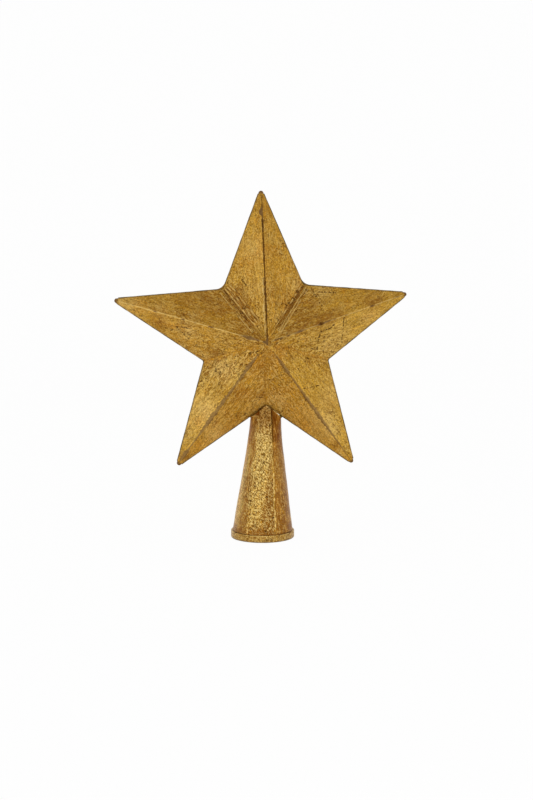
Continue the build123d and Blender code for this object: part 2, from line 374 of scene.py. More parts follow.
# %% Wrinkles and flakes
def wrinkles_and_flakes(put, here, finish):
    """Shares of pale crests and brown troughs, painted highlight and shade, of pale flakes, partly painted
    glints, and of worn flakes.
    """
    lane = rag_lane(put, here, finish["wrinkle_mm"], finish["wrinkle_mm"] * finish["stretch"])
    wrinkle = put("TexNoise", {"Vector": lane, "Scale": 1, "Detail": 3, "Roughness": 0.6, "Distortion": 1.0})
    flake = put("TexNoise", {"Vector": here["flake_lane"], "Scale": 1, "Detail": 2, "Roughness": 0.7})
    shares = []
    for level, width, amount in ((0.55, 0.045, finish["crest"]), (0.46, 0.04, finish["trough"])):
        off = put("Math", (put("Math", (wrinkle, level), **minus),), **unsigned)
        shares.append(put("MapRange", (off, width, 0.3 * width, 0, amount), **soft))
    for level, edge in ((0.535, finish["flake_edge"]), (0.465, -finish["flake_edge"])):
        shares.append(put("MapRange", (flake, level, level + edge, 0, finish["flake"]), **soft))
    shown = put("MapRange", (here["crowd"], 0, 1, finish["calm"], 1))
    return [put("Math", (share, shown), **times) for share in shares]


# %% [markdown]
# Pits and cracks. The bole shows as dark dots and short cracks where the leaf is crowded. On the front of
# the star it also shows along the edges of the leaf squares, in longer cracks that lie where the photograph
# has them. Each of these is a straight line between two places, made to wander by noise and broken into
# dots. Real cracks are a tenth of a millimetre wide, which would not show from here, so they are drawn 0.5
# to 1.5 mm wide.

# %% Pits and cracks
# Ends of the long cracks in the star's plane, as mm right of and above its centre
leaf_cracks = (
    ((57, 16), (56, -2)), ((39, 6), (50, 11)), ((39, 6), (37, -7)), ((-67, 13), (-54, 11)),
    ((-64, 12), (-55, 4)), ((-68, 10), (-66, 11)), ((12, 27), (18, 25)), ((31, 36), (52, 34)),
    ((-17, 46), (-13, 41)), ((35, 37), (41, 25)), ((26, -34), (38, -33)), ((42, 2), (47, 3)),
    ((27, -10), (31, -13)), ((30, -9), (28, -15)), ((-7, -40), (-1, -41)))
crack_sway = 3.0


def crack_line(put, flat, start, end):
    """Share of one long crack at places that have been flattened to the star's plane."""
    ends = [to_row(*spot, 0, 1) + [crack_sway / 2, 0, crack_sway / 2] for spot in (start, end)]
    first, way = Vector(ends[0] * MM), Vector((ends[1] - ends[0]) * MM)
    aside = put("VectorMath", (flat, first), **minus)
    along = put("VectorMath", (aside, way / way.length_squared), out="Value", operation="DOT_PRODUCT")
    foot = put("VectorMath", {0: way, "Scale": put("Clamp", (along,))}, operation="SCALE")
    gap = put("VectorMath", (aside, foot), out="Value", operation="DISTANCE")
    return put("MapRange", (gap, 0.75 * MM, 0.2 * MM, 0, 0.9), **soft)


def pits_and_cracks(put, here, finish):
    """Share of dark bole that shows in pits and cracks."""
    vein = put("TexNoise", {"Vector": here["place"], "Scale": per_metre(5), "Detail": 2})
    vein = put("Math", (put("Math", (vein, 0.5), **minus),), **unsigned)
    broken = patches(put, here["apart"], 2.6, 0.52, 0.6, Detail=2)
    cracks = put("Math", (put("MapRange", (vein, 0.035, 0.008), **soft), broken), **times)
    pit = put("TexNoise", {"Vector": here["flake_lane"], "Scale": 0.8, "Detail": 2, "Distortion": 0.5})
    dark = put("Math", (cracks, put("MapRange", (pit, 0.67, 0.73), **soft)), **larger)
    dark = put("Math", (dark, put("MapRange", (here["crowd"], 0, 0.7, 0.15, finish["pits"]))), **times)

    sway = put("TexNoise", {"Vector": here["place"], "Scale": per_metre(4), "Detail": 3}, out="Color")
    flat = put("VectorMath", (here["place"], (1, 0, 1)), **times)
    flat = put("VectorMath", (sway, (crack_sway * MM, 0, crack_sway * MM), flat), **fused)
    front = put("Math", (put("SeparateXYZ", (here["place"],), out="Y"), 0), operation="LESS_THAN")
    dotted = put("Math", (patches(put, here["place"], 1.3, 0.44, 0.56, Detail=2), front), **times)
    for start, end in finish["cracks"]:
        line = put("Math", (crack_line(put, flat, start, end), dotted), **times)
        dark = put("Math", (dark, line), **larger)
    return dark


print("long cracks on the front:", len(leaf_cracks))

# %% [markdown]
# Wear and painted light. Four layers follow the marks that each sheet carries. A rag has gone through the
# leaf to the bole in brown zones, in short streaks along its way; some spots and zones of this brown are
# painted shade. Painted shade darkens the bottoms of grooves. A ridge is dark, partly as painted shade,
# rubbed down to grey metal, or burnished pale and partly painted highlight, by its tone. The outline is
# rubbed to grey solder over about half a millimetre. Noise breaks up every layer, because no rag rubs evenly.

# %% Wear and painted light
def wear_and_painted_light(put, here):
    """Shares and colours of rubbed zones, partly painted shade, painted shade in grooves, worn ridges with
    painted highlight and shade, and the rubbed outline.
    """
    through = put("TexNoise", {"Vector": rag_lane(put, here, 1.8, 6), "Scale": 1, "Detail": 4})
    through = put("MapRange", (through, 0.3, 0.62, 0.2, 1), **soft)
    # Rubbed bole, and in some spots and zones painted shade
    rubbed = put("Math", (here["rubbed"], through), **times)

    # Painted shade at the bottom of grooves, broken up by noise
    patchy_shade = patches(put, here["place"], 3, 0.3, 0.62, most=0.9, least=0.2)
    groove_shade = put("Math", (put("MapRange", (here["groove_mm"], 0.95, 0.15), **soft), patchy_shade), **times)

    nibble = patches(put, here["place"], 2.6, 0.3, 0.7, most=1.4, least=0.55, Detail=4, Roughness=0.65)
    ragged = put("Math", (here["ridge_width"], nibble), **times)
    inside = put("Math", (here["ridge_mm"], ragged), **minus)
    bare = put("Math", (put("MapRange", (inside, 0.35, -0.3), **soft), here["ridge_cover"]), **times)
    bare = put("Math", (bare, put("MapRange", (here["ridge_width"], 0.02, 0.15), **soft)), **times)
    # The tone runs from the dark of a ridge, partly painted shade, through rubbed grey metal to pale leaf,
    # partly painted highlight
    greyer = put("MapRange", (here["ridge_tone"], 0, 0.5))
    paler = put("MapRange", (here["ridge_tone"], 0.5, 1))
    metal = put("MixRGB", (paler, put("MixRGB", (greyer, ridge_dark, rubbed_grey)), leaf_pale))

    chafed = patches(put, here["place"], 6, 0.25, 0.6, most=0.65, least=0.15)
    outline = put("Math", (put("MapRange", (here["edge_mm"], 1.15, 0.35), **soft), chafed), **times)
    return (rubbed, bole_brown), (groove_shade, groove_shade_colour), (bare, metal), (outline, rim_grey)


# %% [markdown]
# The layers make three finishes: the matt leaf of the star, the shinier and more crackled leaf of the
# socket, and leaf over soft solder. One function lays the layers and a table of amounts makes the
# difference. Clean gold would have metallic 1 and, polished, a roughness of about 0.2. Bole and dust dull it
# to metallic 0.6 and roughness 0.5 on the star, and to 0.9 and 0.34 on the burnished socket. Leaf shines a
# little more on the crests of its grain and less in its pits. Wrinkles, flakes and pits also get a relief of
# a third of a millimetre at most.

# %% Gold leaf
def lay_leaf(name, finish):
    """Material of rubbed gold leaf; finish gives the amounts of each layer."""
    material = bpy.data.materials.new(name)
    material.use_nodes = True
    tree = material.node_tree
    put = functools.partial(add_node, tree)
    here = {key: put("Attribute", out="Fac", attribute_name=key) for key in mark_defaults}
    here["place"] = put("TexCoord", out="Object")
    # The same place moved by some decimetres, so that two patterns do not coincide
    here["apart"] = put("VectorMath", (here["place"], (0.3, 0.1, 0.2)))
    # The grain is ten times finer on the real one, which would not show from here
    here["grain"] = put("TexNoise", {"Vector": here["place"], "Scale": per_metre(1.1), "Detail": 1})
    here["flake_lane"] = rag_lane(put, here, finish["flake_wide"], finish["flake_long"], finish["slant"])
    crowd = patches(put, here["apart"], 17, 0.48, 0.68, finish["patches"])
    here["crowd"] = put("Math", (crowd, here["crackle"]), **larger)

    crest, trough, pale, worn = wrinkles_and_flakes(put, here, finish)
    dark = pits_and_cracks(put, here, finish)
    rubbed, *other_wear_and_light = wear_and_painted_light(put, here)
    colour = whole_leaf(put, here, finish)
    # Pale crests and brown troughs are painted highlight and shade, and pale flakes are partly painted glints
    for share, tint in ((crest, finish["highlight"]), (trough, bole_brown), (pale, finish["highlight"]),
                        (worn, finish["worn"]), rubbed, (dark, bole_dark), *other_wear_and_light):
        colour = put("MixRGB", (share, colour, tint))

    shine = put("MapRange", (here["grain"], 0.3, 0.7, finish["rough"] + 0.06, finish["rough"] - 0.06))
    shine = put("Math", (dark, 0.2, shine), **fused)
    relief = put("Math", (here["grain"], 0.3, put("Math", (crest, trough), **minus)), **fused)
    relief = put("Math", (put("Math", (pale, worn), **minus), 0.7, relief), **fused)
    relief = put("Math", (dark, -0.6, relief), **fused)
    normal = put("Bump", {"Height": relief, "Distance": 0.3 * MM, "Strength": finish["relief"]})
    surface = tree.nodes["Principled BSDF"]
    for socket, value in (("Base Color", colour), ("Roughness", shine), ("Normal", normal)):
        tree.links.new(value, surface.inputs[socket])
    surface.inputs["Metallic"].default_value = finish["metallic"]
    surface.inputs["Specular IOR Level"].default_value = 0.1
    print(f"{name}: {len(tree.nodes)} nodes")
    return material


star_finish = {
    "gold": leaf_gold, "highlight": leaf_pale, "worn": bole_brown,
    "brown": 0.5, "yellow": 0.6, "orange": 0.45, "grain": 0.28, "streak": 0.13,
    "patches": 0.55, "calm": 0.2, "wrinkle_mm": 2.2, "stretch": 3.2, "crest": 0.85, "trough": 0.95,
    "flake": 0.65, "flake_edge": 0.09, "flake_wide": 0.8, "flake_long": 1.2, "slant": 0.0,
    "pits": 0.8, "cracks": leaf_cracks, "metallic": 0.6, "rough": 0.5, "relief": 0.7}
socket_finish = {
    "gold": linear("#b9903f"), "highlight": linear("#eed082"), "worn": linear("#644212"),
    "brown": 0.5, "yellow": 0.5, "orange": 0.1, "grain": 0.26, "streak": 0.32,
    "patches": 0.3, "calm": 0.3, "wrinkle_mm": 1.8, "stretch": 2.0, "crest": 0.75, "trough": 0.95,
    "flake": 1.0, "flake_edge": 0.05, "flake_wide": 0.72, "flake_long": 1.6, "slant": 0.45,
    "pits": 0.8, "cracks": (), "metallic": 0.9, "rough": 0.34, "relief": 0.45}
# Leaf over solder is the star's, with fewer streaks and softer wrinkles and flakes
solder_finish = {
    **star_finish, "yellow": 0.5, "streak": 0.08,
    "patches": 0.5, "stretch": 2.5, "crest": 0.75, "trough": 0.8,
    "flake": 0.55, "flake_edge": 0.1, "flake_wide": 0.9, "flake_long": 1.35,
    "pits": 0.7, "cracks": (), "relief": 0.6}
star_leaf = lay_leaf("matt_gold_leaf_on_tinplate", star_finish)
socket_leaf = lay_leaf("burnished_crackled_leaf_on_tinplate", socket_finish)
solder_leaf = lay_leaf("gilded_soft_solder", solder_finish)

# %% [markdown]
# Soft solder that was gilded and then rubbed bare: a dull grey-brown metal with traces of gold. It runs
# round the rim, where it draws the thin dark line that frames each point, and fills the joints of the band
# and the socket. Tarnish hides most of the metal, so metallic is only 0.25 and the roughness is high.

# %% Rubbed solder
rubbed_solder = bpy.data.materials.new("rubbed_soft_solder")
rubbed_solder.use_nodes = True
put = functools.partial(add_node, rubbed_solder.node_tree)
solder_place = put("TexCoord", out="Object")
solder_fine = put("TexNoise", {"Vector": solder_place, "Scale": per_metre(1.4), "Detail": 3})
gold_left = patches(put, solder_place, 6, 0.46, 0.7, most=0.75, Detail=4)
solder_colour = put("MixRGB", (gold_left, linear("#564620"), leaf_brown))
solder_tone = put("MapRange", (solder_fine, 0.3, 0.7, 0.72, 1.25))
solder_colour = put("MixRGB", (1.0, solder_colour, solder_tone), blend_type="MULTIPLY")
solder_shine = put("MapRange", (solder_fine, 0, 1, 0.6, 0.8))
solder_bump = put("Bump", {"Height": solder_fine, "Distance": 0.2 * MM, "Strength": 0.4})
solder_surface = rubbed_solder.node_tree.nodes["Principled BSDF"]
for socket, value in (("Base Color", solder_colour), ("Roughness", solder_shine), ("Normal", solder_bump)):
    rubbed_solder.node_tree.links.new(value, solder_surface.inputs[socket])
solder_surface.inputs["Metallic"].default_value = 0.25
solder_surface.inputs["Specular IOR Level"].default_value = 0.1
print(f"{rubbed_solder.name}: {len(rubbed_solder.node_tree.nodes)} nodes")

# %% [markdown]
# How the ridges are worn. It differs from point to point: a thin dark line on the top one, thin bright ones
# at the sides, which are partly painted highlight, and broad grey strips on the lower two, darker on their
# inner side as painted shade. One worn line for all would be quicker to write, but these lines are what the
# eye finds first on the star, so each ridge gets its own width, tone and cover along its run.

# %% Wear and painted light of the ridges
rubbed_aside = {"top": 0.2, "left": 0.0, "right": 0.0, "lower_left": 0.5, "lower_right": 0.1}


def hump(run, middle, half):
    """Soft bump of height 1 about one place of a run."""
    return np.exp(-((run - middle) / half) ** 2)


def ridge_wear(name, run, x):
    """Half-width in mm, tone and cover of the worn ridge, along its run from the centre; x lies across it."""
    # Pale tones along a ridge are partly painted highlight
    track = np.stack([run, 0 * run + len(name), 0 * run], axis=-1)
    spots = ease(lumps(track, 5, 4), 0.1, 0.4)
    if name == "top":
        nick = hump(run, 92.5, 2.4) * ease(x, 0.4, -0.4)
        strip = ease(x, -0.6, -1.0) * ease(run, 62, 40) * ease(run, 3, 8)
        width = 0.66 + 1.7 * nick + 0.3 * ease(run, 7, 2) + 1.6 * strip
        tone = 0.35 * hump(run, 92.5, 4) + 0.3 * ease(run, 6, 2) + 0.9 * strip
        cover = 0.9 - 0.45 * ease(run, 94, 102)
    elif name == "left":
        grey = hump(run, 13, 7)
        width = 0.3 + 1.1 * hump(run, 13.5, 4.5) + 0.25 * spots
        tone = 0.95 - 0.52 * grey - 0.5 * spots * (1 - grey)
        cover = 0.95 - 0.15 * grey
    elif name == "right":
        width = 0.28 + 0.7 * hump(run, 25, 4) + 0.6 * hump(run, 42, 5) + 0.25 * spots
        tone = 0.85 - 0.35 * hump(run, 25, 6) - 0.3 * hump(run, 42, 7) - 0.55 * spots
        cover = 0.88
    else:
        broad, end_patch, inner_side = (1.3, 1.4, -x) if name == "lower_left" else (1.1, 0.0, x)
        patchy = 0.85 + 0.9 * lumps(track, 14, 3)
        width = 0.3 + broad * patchy * ease(run, 9, 18) * ease(run, 106, 70) + end_patch * hump(run, 101, 5)
        # The inner side of a lower ridge is darker as painted shade
        tone = 0.48 - 0.25 * ease(inner_side, 0.0, 0.8)
        cover = 0.74 * ease(run, 6, 12)
    return width + 0 * x, np.clip(tone, 0, 0.95) + 0 * x, cover + 0 * x


# %% [markdown]
# How the leaf is worn and shaded. Every facet has its own share of wrinkles and its own warmth, because each
# was gilded and rubbed by hand in its turn, and its own depth of painted shade, most on the facets that face
# up. On top of that come single soft spots that lie where the photograph shows them: darker ones, partly
# rubbed bole and partly painted shade, and paler ones of painted highlight. Noise alone would scatter them at
# random.

# %% Wear and painted light of the leaf
# Amounts of crackle, warmth and painted shade by point and hand; the shade lies mostly on facets that face up
leaf_wear = {
    ("top", -1): (0.55, 0.1, 0.0), ("top", 1): (0.35, 0.1, 0.3),
    ("left", -1): (0.6, 0.25, 0.0), ("left", 1): (0.4, 0.0, 0.58),
    ("lower_left", -1): (0.55, 0.45, 0.0), ("lower_left", 1): (0.8, 0.0, 0.0),
    ("lower_right", -1): (0.4, 0.0, 0.0), ("lower_right", 1): (0.6, 0.4, 0.0),
    ("right", -1): (0.5, 0.0, 0.35), ("right", 1): (0.6, 0.0, 0.0)}
# Spots as right, up and half-size in mm, and amount. The rubbed spots are partly brown bole and partly
# painted shade; the bright spots are painted highlight
rub_and_shade_spots = (
    (-75, 15, 6, 0.6), (82, 29, 4.5, 0.6), (50, -77, 2.5, 0.8), (31, -15, 3.5, 0.4), (-18, 37, 4, 0.45),
    (-14, 30, 4, 0.5), (-10, 24, 4, 0.35), (24, 20, 10, 0.4), (-31, 26, 10, 0.4), (-3, -38, 4, 0.5),
    (-57, 31, 6, 0.35), (-43, 33, 6, 0.45), (-16, 9, 6, 0.45), (16, 9, 6, 0.45), (27, 11, 5, 0.5),
    (37, 14, 5, 0.65), (45, 16, 5, 0.65), (53, 19, 5, 0.5), (36, 26, 6, 0.4), (76, 27, 6, 0.4),
    (-23, -37, 7, 0.45), (-4, 2, 6, 0.4), (-60, -82, 4, 0.6), (0, 98, 8, 0.4), (-34, -8, 5, 0.5),
    (6, -10, 4, 0.4), (18, -11, 4, 0.4))
bright_spots = (
    (-56, 9, 6, 0.4), (-30, -18, 10, 0.6), (43, 37, 6, 0.4), (-46, -48, 11, 0.65), (4, -42, 5, 0.25),
    (11, -46, 5, 0.25), (-32, 6, 5, 0.3), (38, -55, 9, 0.4), (-100, 31, 10, 0.5), (-50, 19, 5, 0.2),
    (-74, 25, 6, 0.3), (-37, -68, 9, 0.45), (-62, -62, 8, 0.45), (46, -65, 8, 0.45), (48, -40, 8, 0.35),
    (10, 17, 5, 0.35), (24, 39, 5, 0.4), (-8, 66, 9, 0.35), (-6, 40, 8, 0.3), (-6, -43, 5, 0.2),
    (-13, -47, 5, 0.2), (52, 2, 13, 0.35), (76, 16, 8, 0.3))


def spots_at(spots, right, up):
    """Amounts of all soft spots, added up at places of the star's plane."""
    return sum(amount * np.exp(-((right - a) ** 2 + (up - b) ** 2) / size ** 2)
               for a, b, size, amount in spots)


print("spots rubbed brown:", len(rub_and_shade_spots), "spots left bright:", len(bright_spots))

# %% [markdown]
# The folded points. Each is one kite of sheet with a fold along its middle, so its grid runs along the
# ridge in rows and across both facets in columns, closer together near the fold. Two flat facets would
# have the same outline, but no room for dents. The fold has a small radius, because sheet does not bend to
# a knife edge.

# %% Grid of a point
ridge_radius = {"top": 0.35, "left": 0.35, "right": 0.35, "lower_left": 0.8, "lower_right": 0.8}
tip_radius, tip_land = 2.0, 1.0
ridge_rows, facet_columns = 118, 65


def tip_trim(name):
    """Length of a point, back from its sharp tip, that the drop of solder takes up."""
    arms = [layout[name]["hands"][hand]["corner"] - tips[name] for hand in (1, -1)]
    spread = math.acos(arms[0] @ arms[1] / np.linalg.norm(arms[0]) / np.linalg.norm(arms[1]))
    return tip_radius / math.tan(spread / 2) + tip_land


def point_grid(name):
    """Places along the ridge of a point and across it, with a row through each inner corner."""
    reach, hands = layout[name]["reach"], layout[name]["hands"]
    ups = [hands[hand]["up"] for hand in (1, -1)]
    run = np.linspace(0.3, reach - tip_trim(name), ridge_rows)
    run = np.sort(np.concatenate([[y for y in run if min(abs(y - up) for up in ups) > 0.45], ups]))[:, None]
    share = np.linspace(-1, 1, facet_columns)[None, :]
    share = np.sign(share) * np.abs(share) ** 1.5
    width = {}
    for hand, facet in hands.items():
        width[hand] = np.where(run <= facet["up"], facet["side"] * run / facet["up"],
                               facet["side"] * (reach - run) / (reach - facet["up"]))
    return run, np.where(share < 0, share * width[-1], share * width[1])


def fold_depth(name, run, x):
    """Depth of the folded sheet, rounded over the ridge."""
    reach, hands = layout[name]["reach"], layout[name]["hands"]
    fold = np.hypot(x, ridge_radius[name])
    middle = (hands[1]["fall"] + hands[-1]["fall"]) / 2
    fall = middle + (hands[1]["fall"] - middle) * x / fold
    taper = ease(reach - run, 4, 20)
    depth = rim_half + facet_rise * (1 - run / reach - fall * (np.abs(x) + (fold - np.abs(x)) * taper))
    return np.maximum(depth, rim_half)


print("length taken up by the tip drops mm:", {name: round(tip_trim(name), 1) for name in point_names})

# %% [markdown]
# With the grid and the wear in place, a point is put together: its skin, and at each place the distances to
# the rim and to the valleys, which tell the finish where the outline is rubbed and where painted shade lies.
# Near the lowest corner, where the socket meets the star, the outline gets painted shade rather than rubbed
# grey.

# %% Folded points
facet_slant = 1.17  # way down a facet for each millimetre in plan
sheet_slant = 1.24  # depth through the slanting sheet for each millimetre of its thickness
# Near the lowest corner the outline gets painted shade instead of rubbed grey
notch_clean, notch_shaded = (14, 10), (7.5, 9.5)  # mm from the lowest corner


def edge_gaps(name, run, x):
    """Distances from places on a point to its rim and to its valleys."""
    reach, hands = layout[name]["reach"], layout[name]["hands"]
    rim, groove = np.full_like(x, far), np.full_like(x, far)
    for hand, facet in hands.items():
        here = (x * hand) >= 0
        arm = np.array([-facet["side"], reach - facet["up"]]) / np.hypot(facet["side"], reach - facet["up"])
        rim_gap = np.abs((np.abs(x) - facet["side"]) * arm[1] - (run - facet["up"]) * arm[0])
        rim = np.where(here, rim_gap, rim)
        length = np.hypot(facet["side"], facet["up"])
        fold_line = np.array([facet["side"], facet["up"]]) / length
        valley = np.abs(np.abs(x) * fold_line[1] - run * fold_line[0])
        past = np.abs(x) * fold_line[0] + run * fold_line[1] - length
        groove = np.where(here, np.hypot(valley, np.maximum(past, 0)), groove)
    return rim, groove


def point_skin(name, facing):
    """Folded sheet of one point with the marks of its wear."""
    point = layout[name]
    run, x = point_grid(name)
    right = x * point["across"][0] + run * point["along"][0]
    up = x * point["across"][1] + run * point["along"][1]
    depth = fold_depth(name, run, x)
    depth = depth + dents(right, up, depth, facing)
    outer = to_row(right, up, depth, facing)
    inner = to_row(right, up, np.maximum(depth - sheet_slant * sheet, 0.05), facing)
    rim, groove = edge_gaps(name, run, x)
    notch = np.hypot(right, up - corners["lower_left"][1])
    # Painted shade along the outline near the lowest corner, where the socket's tongue meets the star
    groove_shade = np.minimum(groove + 1.2, 0.5 * rim + far * ease(notch, *notch_shaded))
    wear, tone, cover = ridge_wear(name, run, x)
    # Each facet's crackle, warmth and painted shade come from the table of the leaf's wear
    both_hands = zip(leaf_wear[name, -1], leaf_wear[name, 1])
    crackle, warm, deep = (np.where(x < 0, *amounts) for amounts in both_hands)
    return skin_between(
        outer, inner, ridge_mm=np.abs(x - rubbed_aside[name]) * facet_slant, ridge_width=wear,
        ridge_tone=tone, ridge_cover=cover, edge_mm=rim + far * ease(notch, *notch_clean), groove_mm=groove_shade,
        crackle=crackle * (0.35 + 0.65 * ease(groove, 30, 3)), warm=warm, deep=deep,
        rubbed=spots_at(rub_and_shade_spots, right, up), bright=spots_at(bright_spots, right, up),
        run_mm=run, side_mm=x, piece=3.7 * point_names.index(name) + 20 * facing)


# %% [markdown]
# The top point was fitted last. Its sheet has a narrow flange on each side that is bent over the valley and
# lies on the facet of its neighbour, where it shows as a raised band with a bright edge, a painted highlight,
# and painted shade beside the fold. It is part of the same piece of sheet, so its skin goes into the same
# mesh.

# %% Lap flanges of the top point
lap_stop, lap_foot, lap_start = 11.0, 0.55, 0.8
lap_folds = {"top": ((0.0, 3.5),), "right": ((0.0, 2.2), (2.6, 3.9))}
star_faces = ((1, "front"), (-1, "back"))


def strip_places(corner, offsets, count, stop, start):
    """Places along a valley, from its inner corner towards the centre, at plan distances beside it."""
    length = np.linalg.norm(corner)
    inward = -corner / length
    beside = np.array([inward[1], -inward[0]])
    run = np.linspace(start, length - stop, count)[:, None]
    right = corner[0] + inward[0] * run + beside[0] * offsets
    up = corner[1] + inward[1] * run + beside[1] * offsets
    return right, up, run


def flange_skin(name, hand, facing):
    """Flange of the top point beside the valley at one corner, towards the neighbour on that hand."""
    folds = lap_folds[name]
    reach = folds[-1][1]
    step = np.linspace(0, reach, 33)[None, :]
    right, up, run = strip_places(corners[name], hand * (lap_foot + step), 90, lap_stop, lap_start)
    waver = 0.35 * lumps(to_row(right, up, 0 * right, facing) * [1, 0, 1] + [0, 5 * facing, 0], 9, 5)
    offsets = hand * (lap_foot + step + step / reach * waver)
    right, up, run = strip_places(corners[name], offsets, 90, lap_stop, lap_start)
    proud, edge_gap = np.zeros_like(step), np.full_like(step, 9.0)
    for low, high in folds:
        fold = np.minimum(ease(step, low - 0.1, low + 0.35), ease(step, high + 0.1, high - 0.35))
        proud = np.maximum(proud, fold)
        edge_gap = np.minimum(edge_gap, np.abs(step - high + 0.3))
    end = ease(run, 0, 1.5) * ease(run, run.max(), run.max() - 3)
    depth = sheet_depth(right, up, facing)
    on_sheet = to_row(right, up, depth, facing)
    rough = 0.05 * lumps(on_sheet, 2.5, 6)
    outer = to_row(right, up, depth + (sheet + 0.15) * proud * end + rough - 0.06, facing)
    inner = to_row(right, up, depth - 0.3, facing)
    # Painted highlight along the flange's edge; painted shade lies near the fold
    bright = ease(lumps(on_sheet + step[..., None], 6, 12), -0.6, 0.1)
    return skin_between(
        outer, inner, ridge_mm=edge_gap, ridge_width=0.45 * bright, ridge_tone=0.9, groove_mm=0.4 + step,
        rubbed=0.4 * ease(step, reach, reach - 1.5), run_mm=0.5 * run, side_mm=1.6 * step, piece=1.0 + hand,
        crackle=1.0)


for facing, face_name in star_faces:
    for name in point_names:
        skins = [point_skin(name, facing)]
        if name == "top":
            skins += [flange_skin("top", 1, facing), flange_skin("right", -1, facing)]
        make_piece(f"{face_name}_{name}_sheet", skins, star_leaf, "gilded_sheet", f"{face_name}_{name}_point")

# %% [markdown]
# Solder in the valleys. Where two points meet, a run of solder fills the fold. In the three lower valleys it
# is broad and soft, was gilded with the rest and is a little darkened as painted shade. In the two upper ones
# the flange leaves only a narrow dark groove of painted shade, and the bent sheet beside it lies in low
# rolls, with painted shade between them and painted highlight on their crests. A tube along the valley would
# stand on the sheet like a cord, so each run follows the sheet below it and is only a little higher in the
# middle.

# %% Valley solder
valley_stop, valley_start = 5.0, 0.2
valley_width, valley_fill = 2.4, 0.22
roll_pitch = 2.2


def valley_skin(name, facing):
    """Run of solder in the valley at one inner corner."""
    share = np.linspace(-1, 1, 25)[None, :]
    right, up, run = strip_places(corners[name], share * valley_width, 80, valley_stop, valley_start)
    depth = sheet_depth(right, up, facing)
    body = valley_fill * (np.sqrt(0.09 + share ** 2) - np.abs(share)) / 0.3
    brink = valley_fill * (math.sqrt(1.09) - 1) / 0.3
    rough = 0.14 * lumps(to_row(right, up, depth, facing), 2.6, 8) * (1 - share ** 2)
    outer = to_row(right, up, depth + body - brink + rough - 0.03, facing)
    inner = to_row(right, up, depth - 0.4, facing)
    # A little painted shade darkens the run
    return skin_between(outer, inner, groove_mm=1.2, run_mm=run, side_mm=share * valley_width,
                        crackle=0.45, warm=0.3, deep=0.3, rubbed=0.2, piece=9.0)


def groove_skin(name, hand, facing):
    """Dark groove beside a lap flange, painted shade, with the low rolls that the bent sheet makes next to
    it, pale on their crests as painted highlight.
    """
    rolls = 3 if name == "top" else 1
    reach = rolls * roll_pitch
    step = np.linspace(-0.7, reach, 16 + 16 * rolls)[None, :]
    right, up, run = strip_places(corners[name], -hand * step, 80, valley_stop, valley_start)
    room = np.minimum(1, 0.5 * (run.max() + valley_stop - run) / reach)
    waver = lumps(to_row(right, up, 0 * right, facing) * [1, 0, 1] + [0, 5 * facing, 0], 7, 7)
    waver = 1.1 * waver * ease(step, 0, 2.5) * ease(step, reach, (rolls - 0.5) * roll_pitch)
    right, up, run = strip_places(corners[name], -hand * room * (step + waver), 80, valley_stop, valley_start)
    depth = sheet_depth(right, up, facing)
    on_sheet = to_row(right, up, depth, facing)
    fade = ease(run, run.max(), run.max() - 18) * ease(run, 0, 2)
    roll = 0.5 - 0.5 * np.cos(2 * math.pi * np.maximum(step, 0) / roll_pitch)
    roll = roll * ease(step, 3.3 * roll_pitch, 0.2)
    rough = 0.06 * lumps(on_sheet, 2.2, 9) * ease(step, reach, 0.9 * roll_pitch)
    outer = to_row(right, up, depth + 0.03 + (0.3 * roll + rough) * fade, facing)
    inner = to_row(right, up, depth - 0.4, facing)
    # Painted shade in the groove and between the rolls, painted highlight on their crests
    dark = ease(lumps(on_sheet, 5, 13), 0.25, -0.25)
    bright = ease(lumps(on_sheet, 4, 14), -0.15, 0.25)
    groove = np.abs(step - roll_pitch * np.round(step / roll_pitch)) + 0.2 + 0.4 * dark
    crest = np.abs(step - roll_pitch * (np.floor(step / roll_pitch) + 0.5))
    return skin_between(
        outer, inner, groove_mm=groove, ridge_mm=crest, ridge_width=0.38 * fade * bright, ridge_tone=0.95,
        ridge_cover=0.9, run_mm=0.6 * run, side_mm=2.4 * step, crackle=0.3 + 0.7 * fade,
        rubbed=(0.2 + 0.35 * ease(step, reach, 1.0)) * fade, warm=0.6 * fade, piece=5.0 + hand)


for facing, face_name in star_faces:
    skins = [valley_skin(name, facing) for name in ("left", "lower_left", "lower_right")]
    skins += [groove_skin("top", 1, facing), groove_skin("right", -1, facing)]
    make_piece(f"{face_name}_valley_runs", skins, solder_leaf, "solder", f"{face_name}_valley_solder")

# %% [markdown]
# Where the five ridges meet, a low drop of solder was floated over the joint, gilded with the rest and
# rubbed grey along the ridges. It is a shallow dome that follows the facets under it, made on rings about
# the centre. Part of a ball would be rounder than solder that has run along the folds.

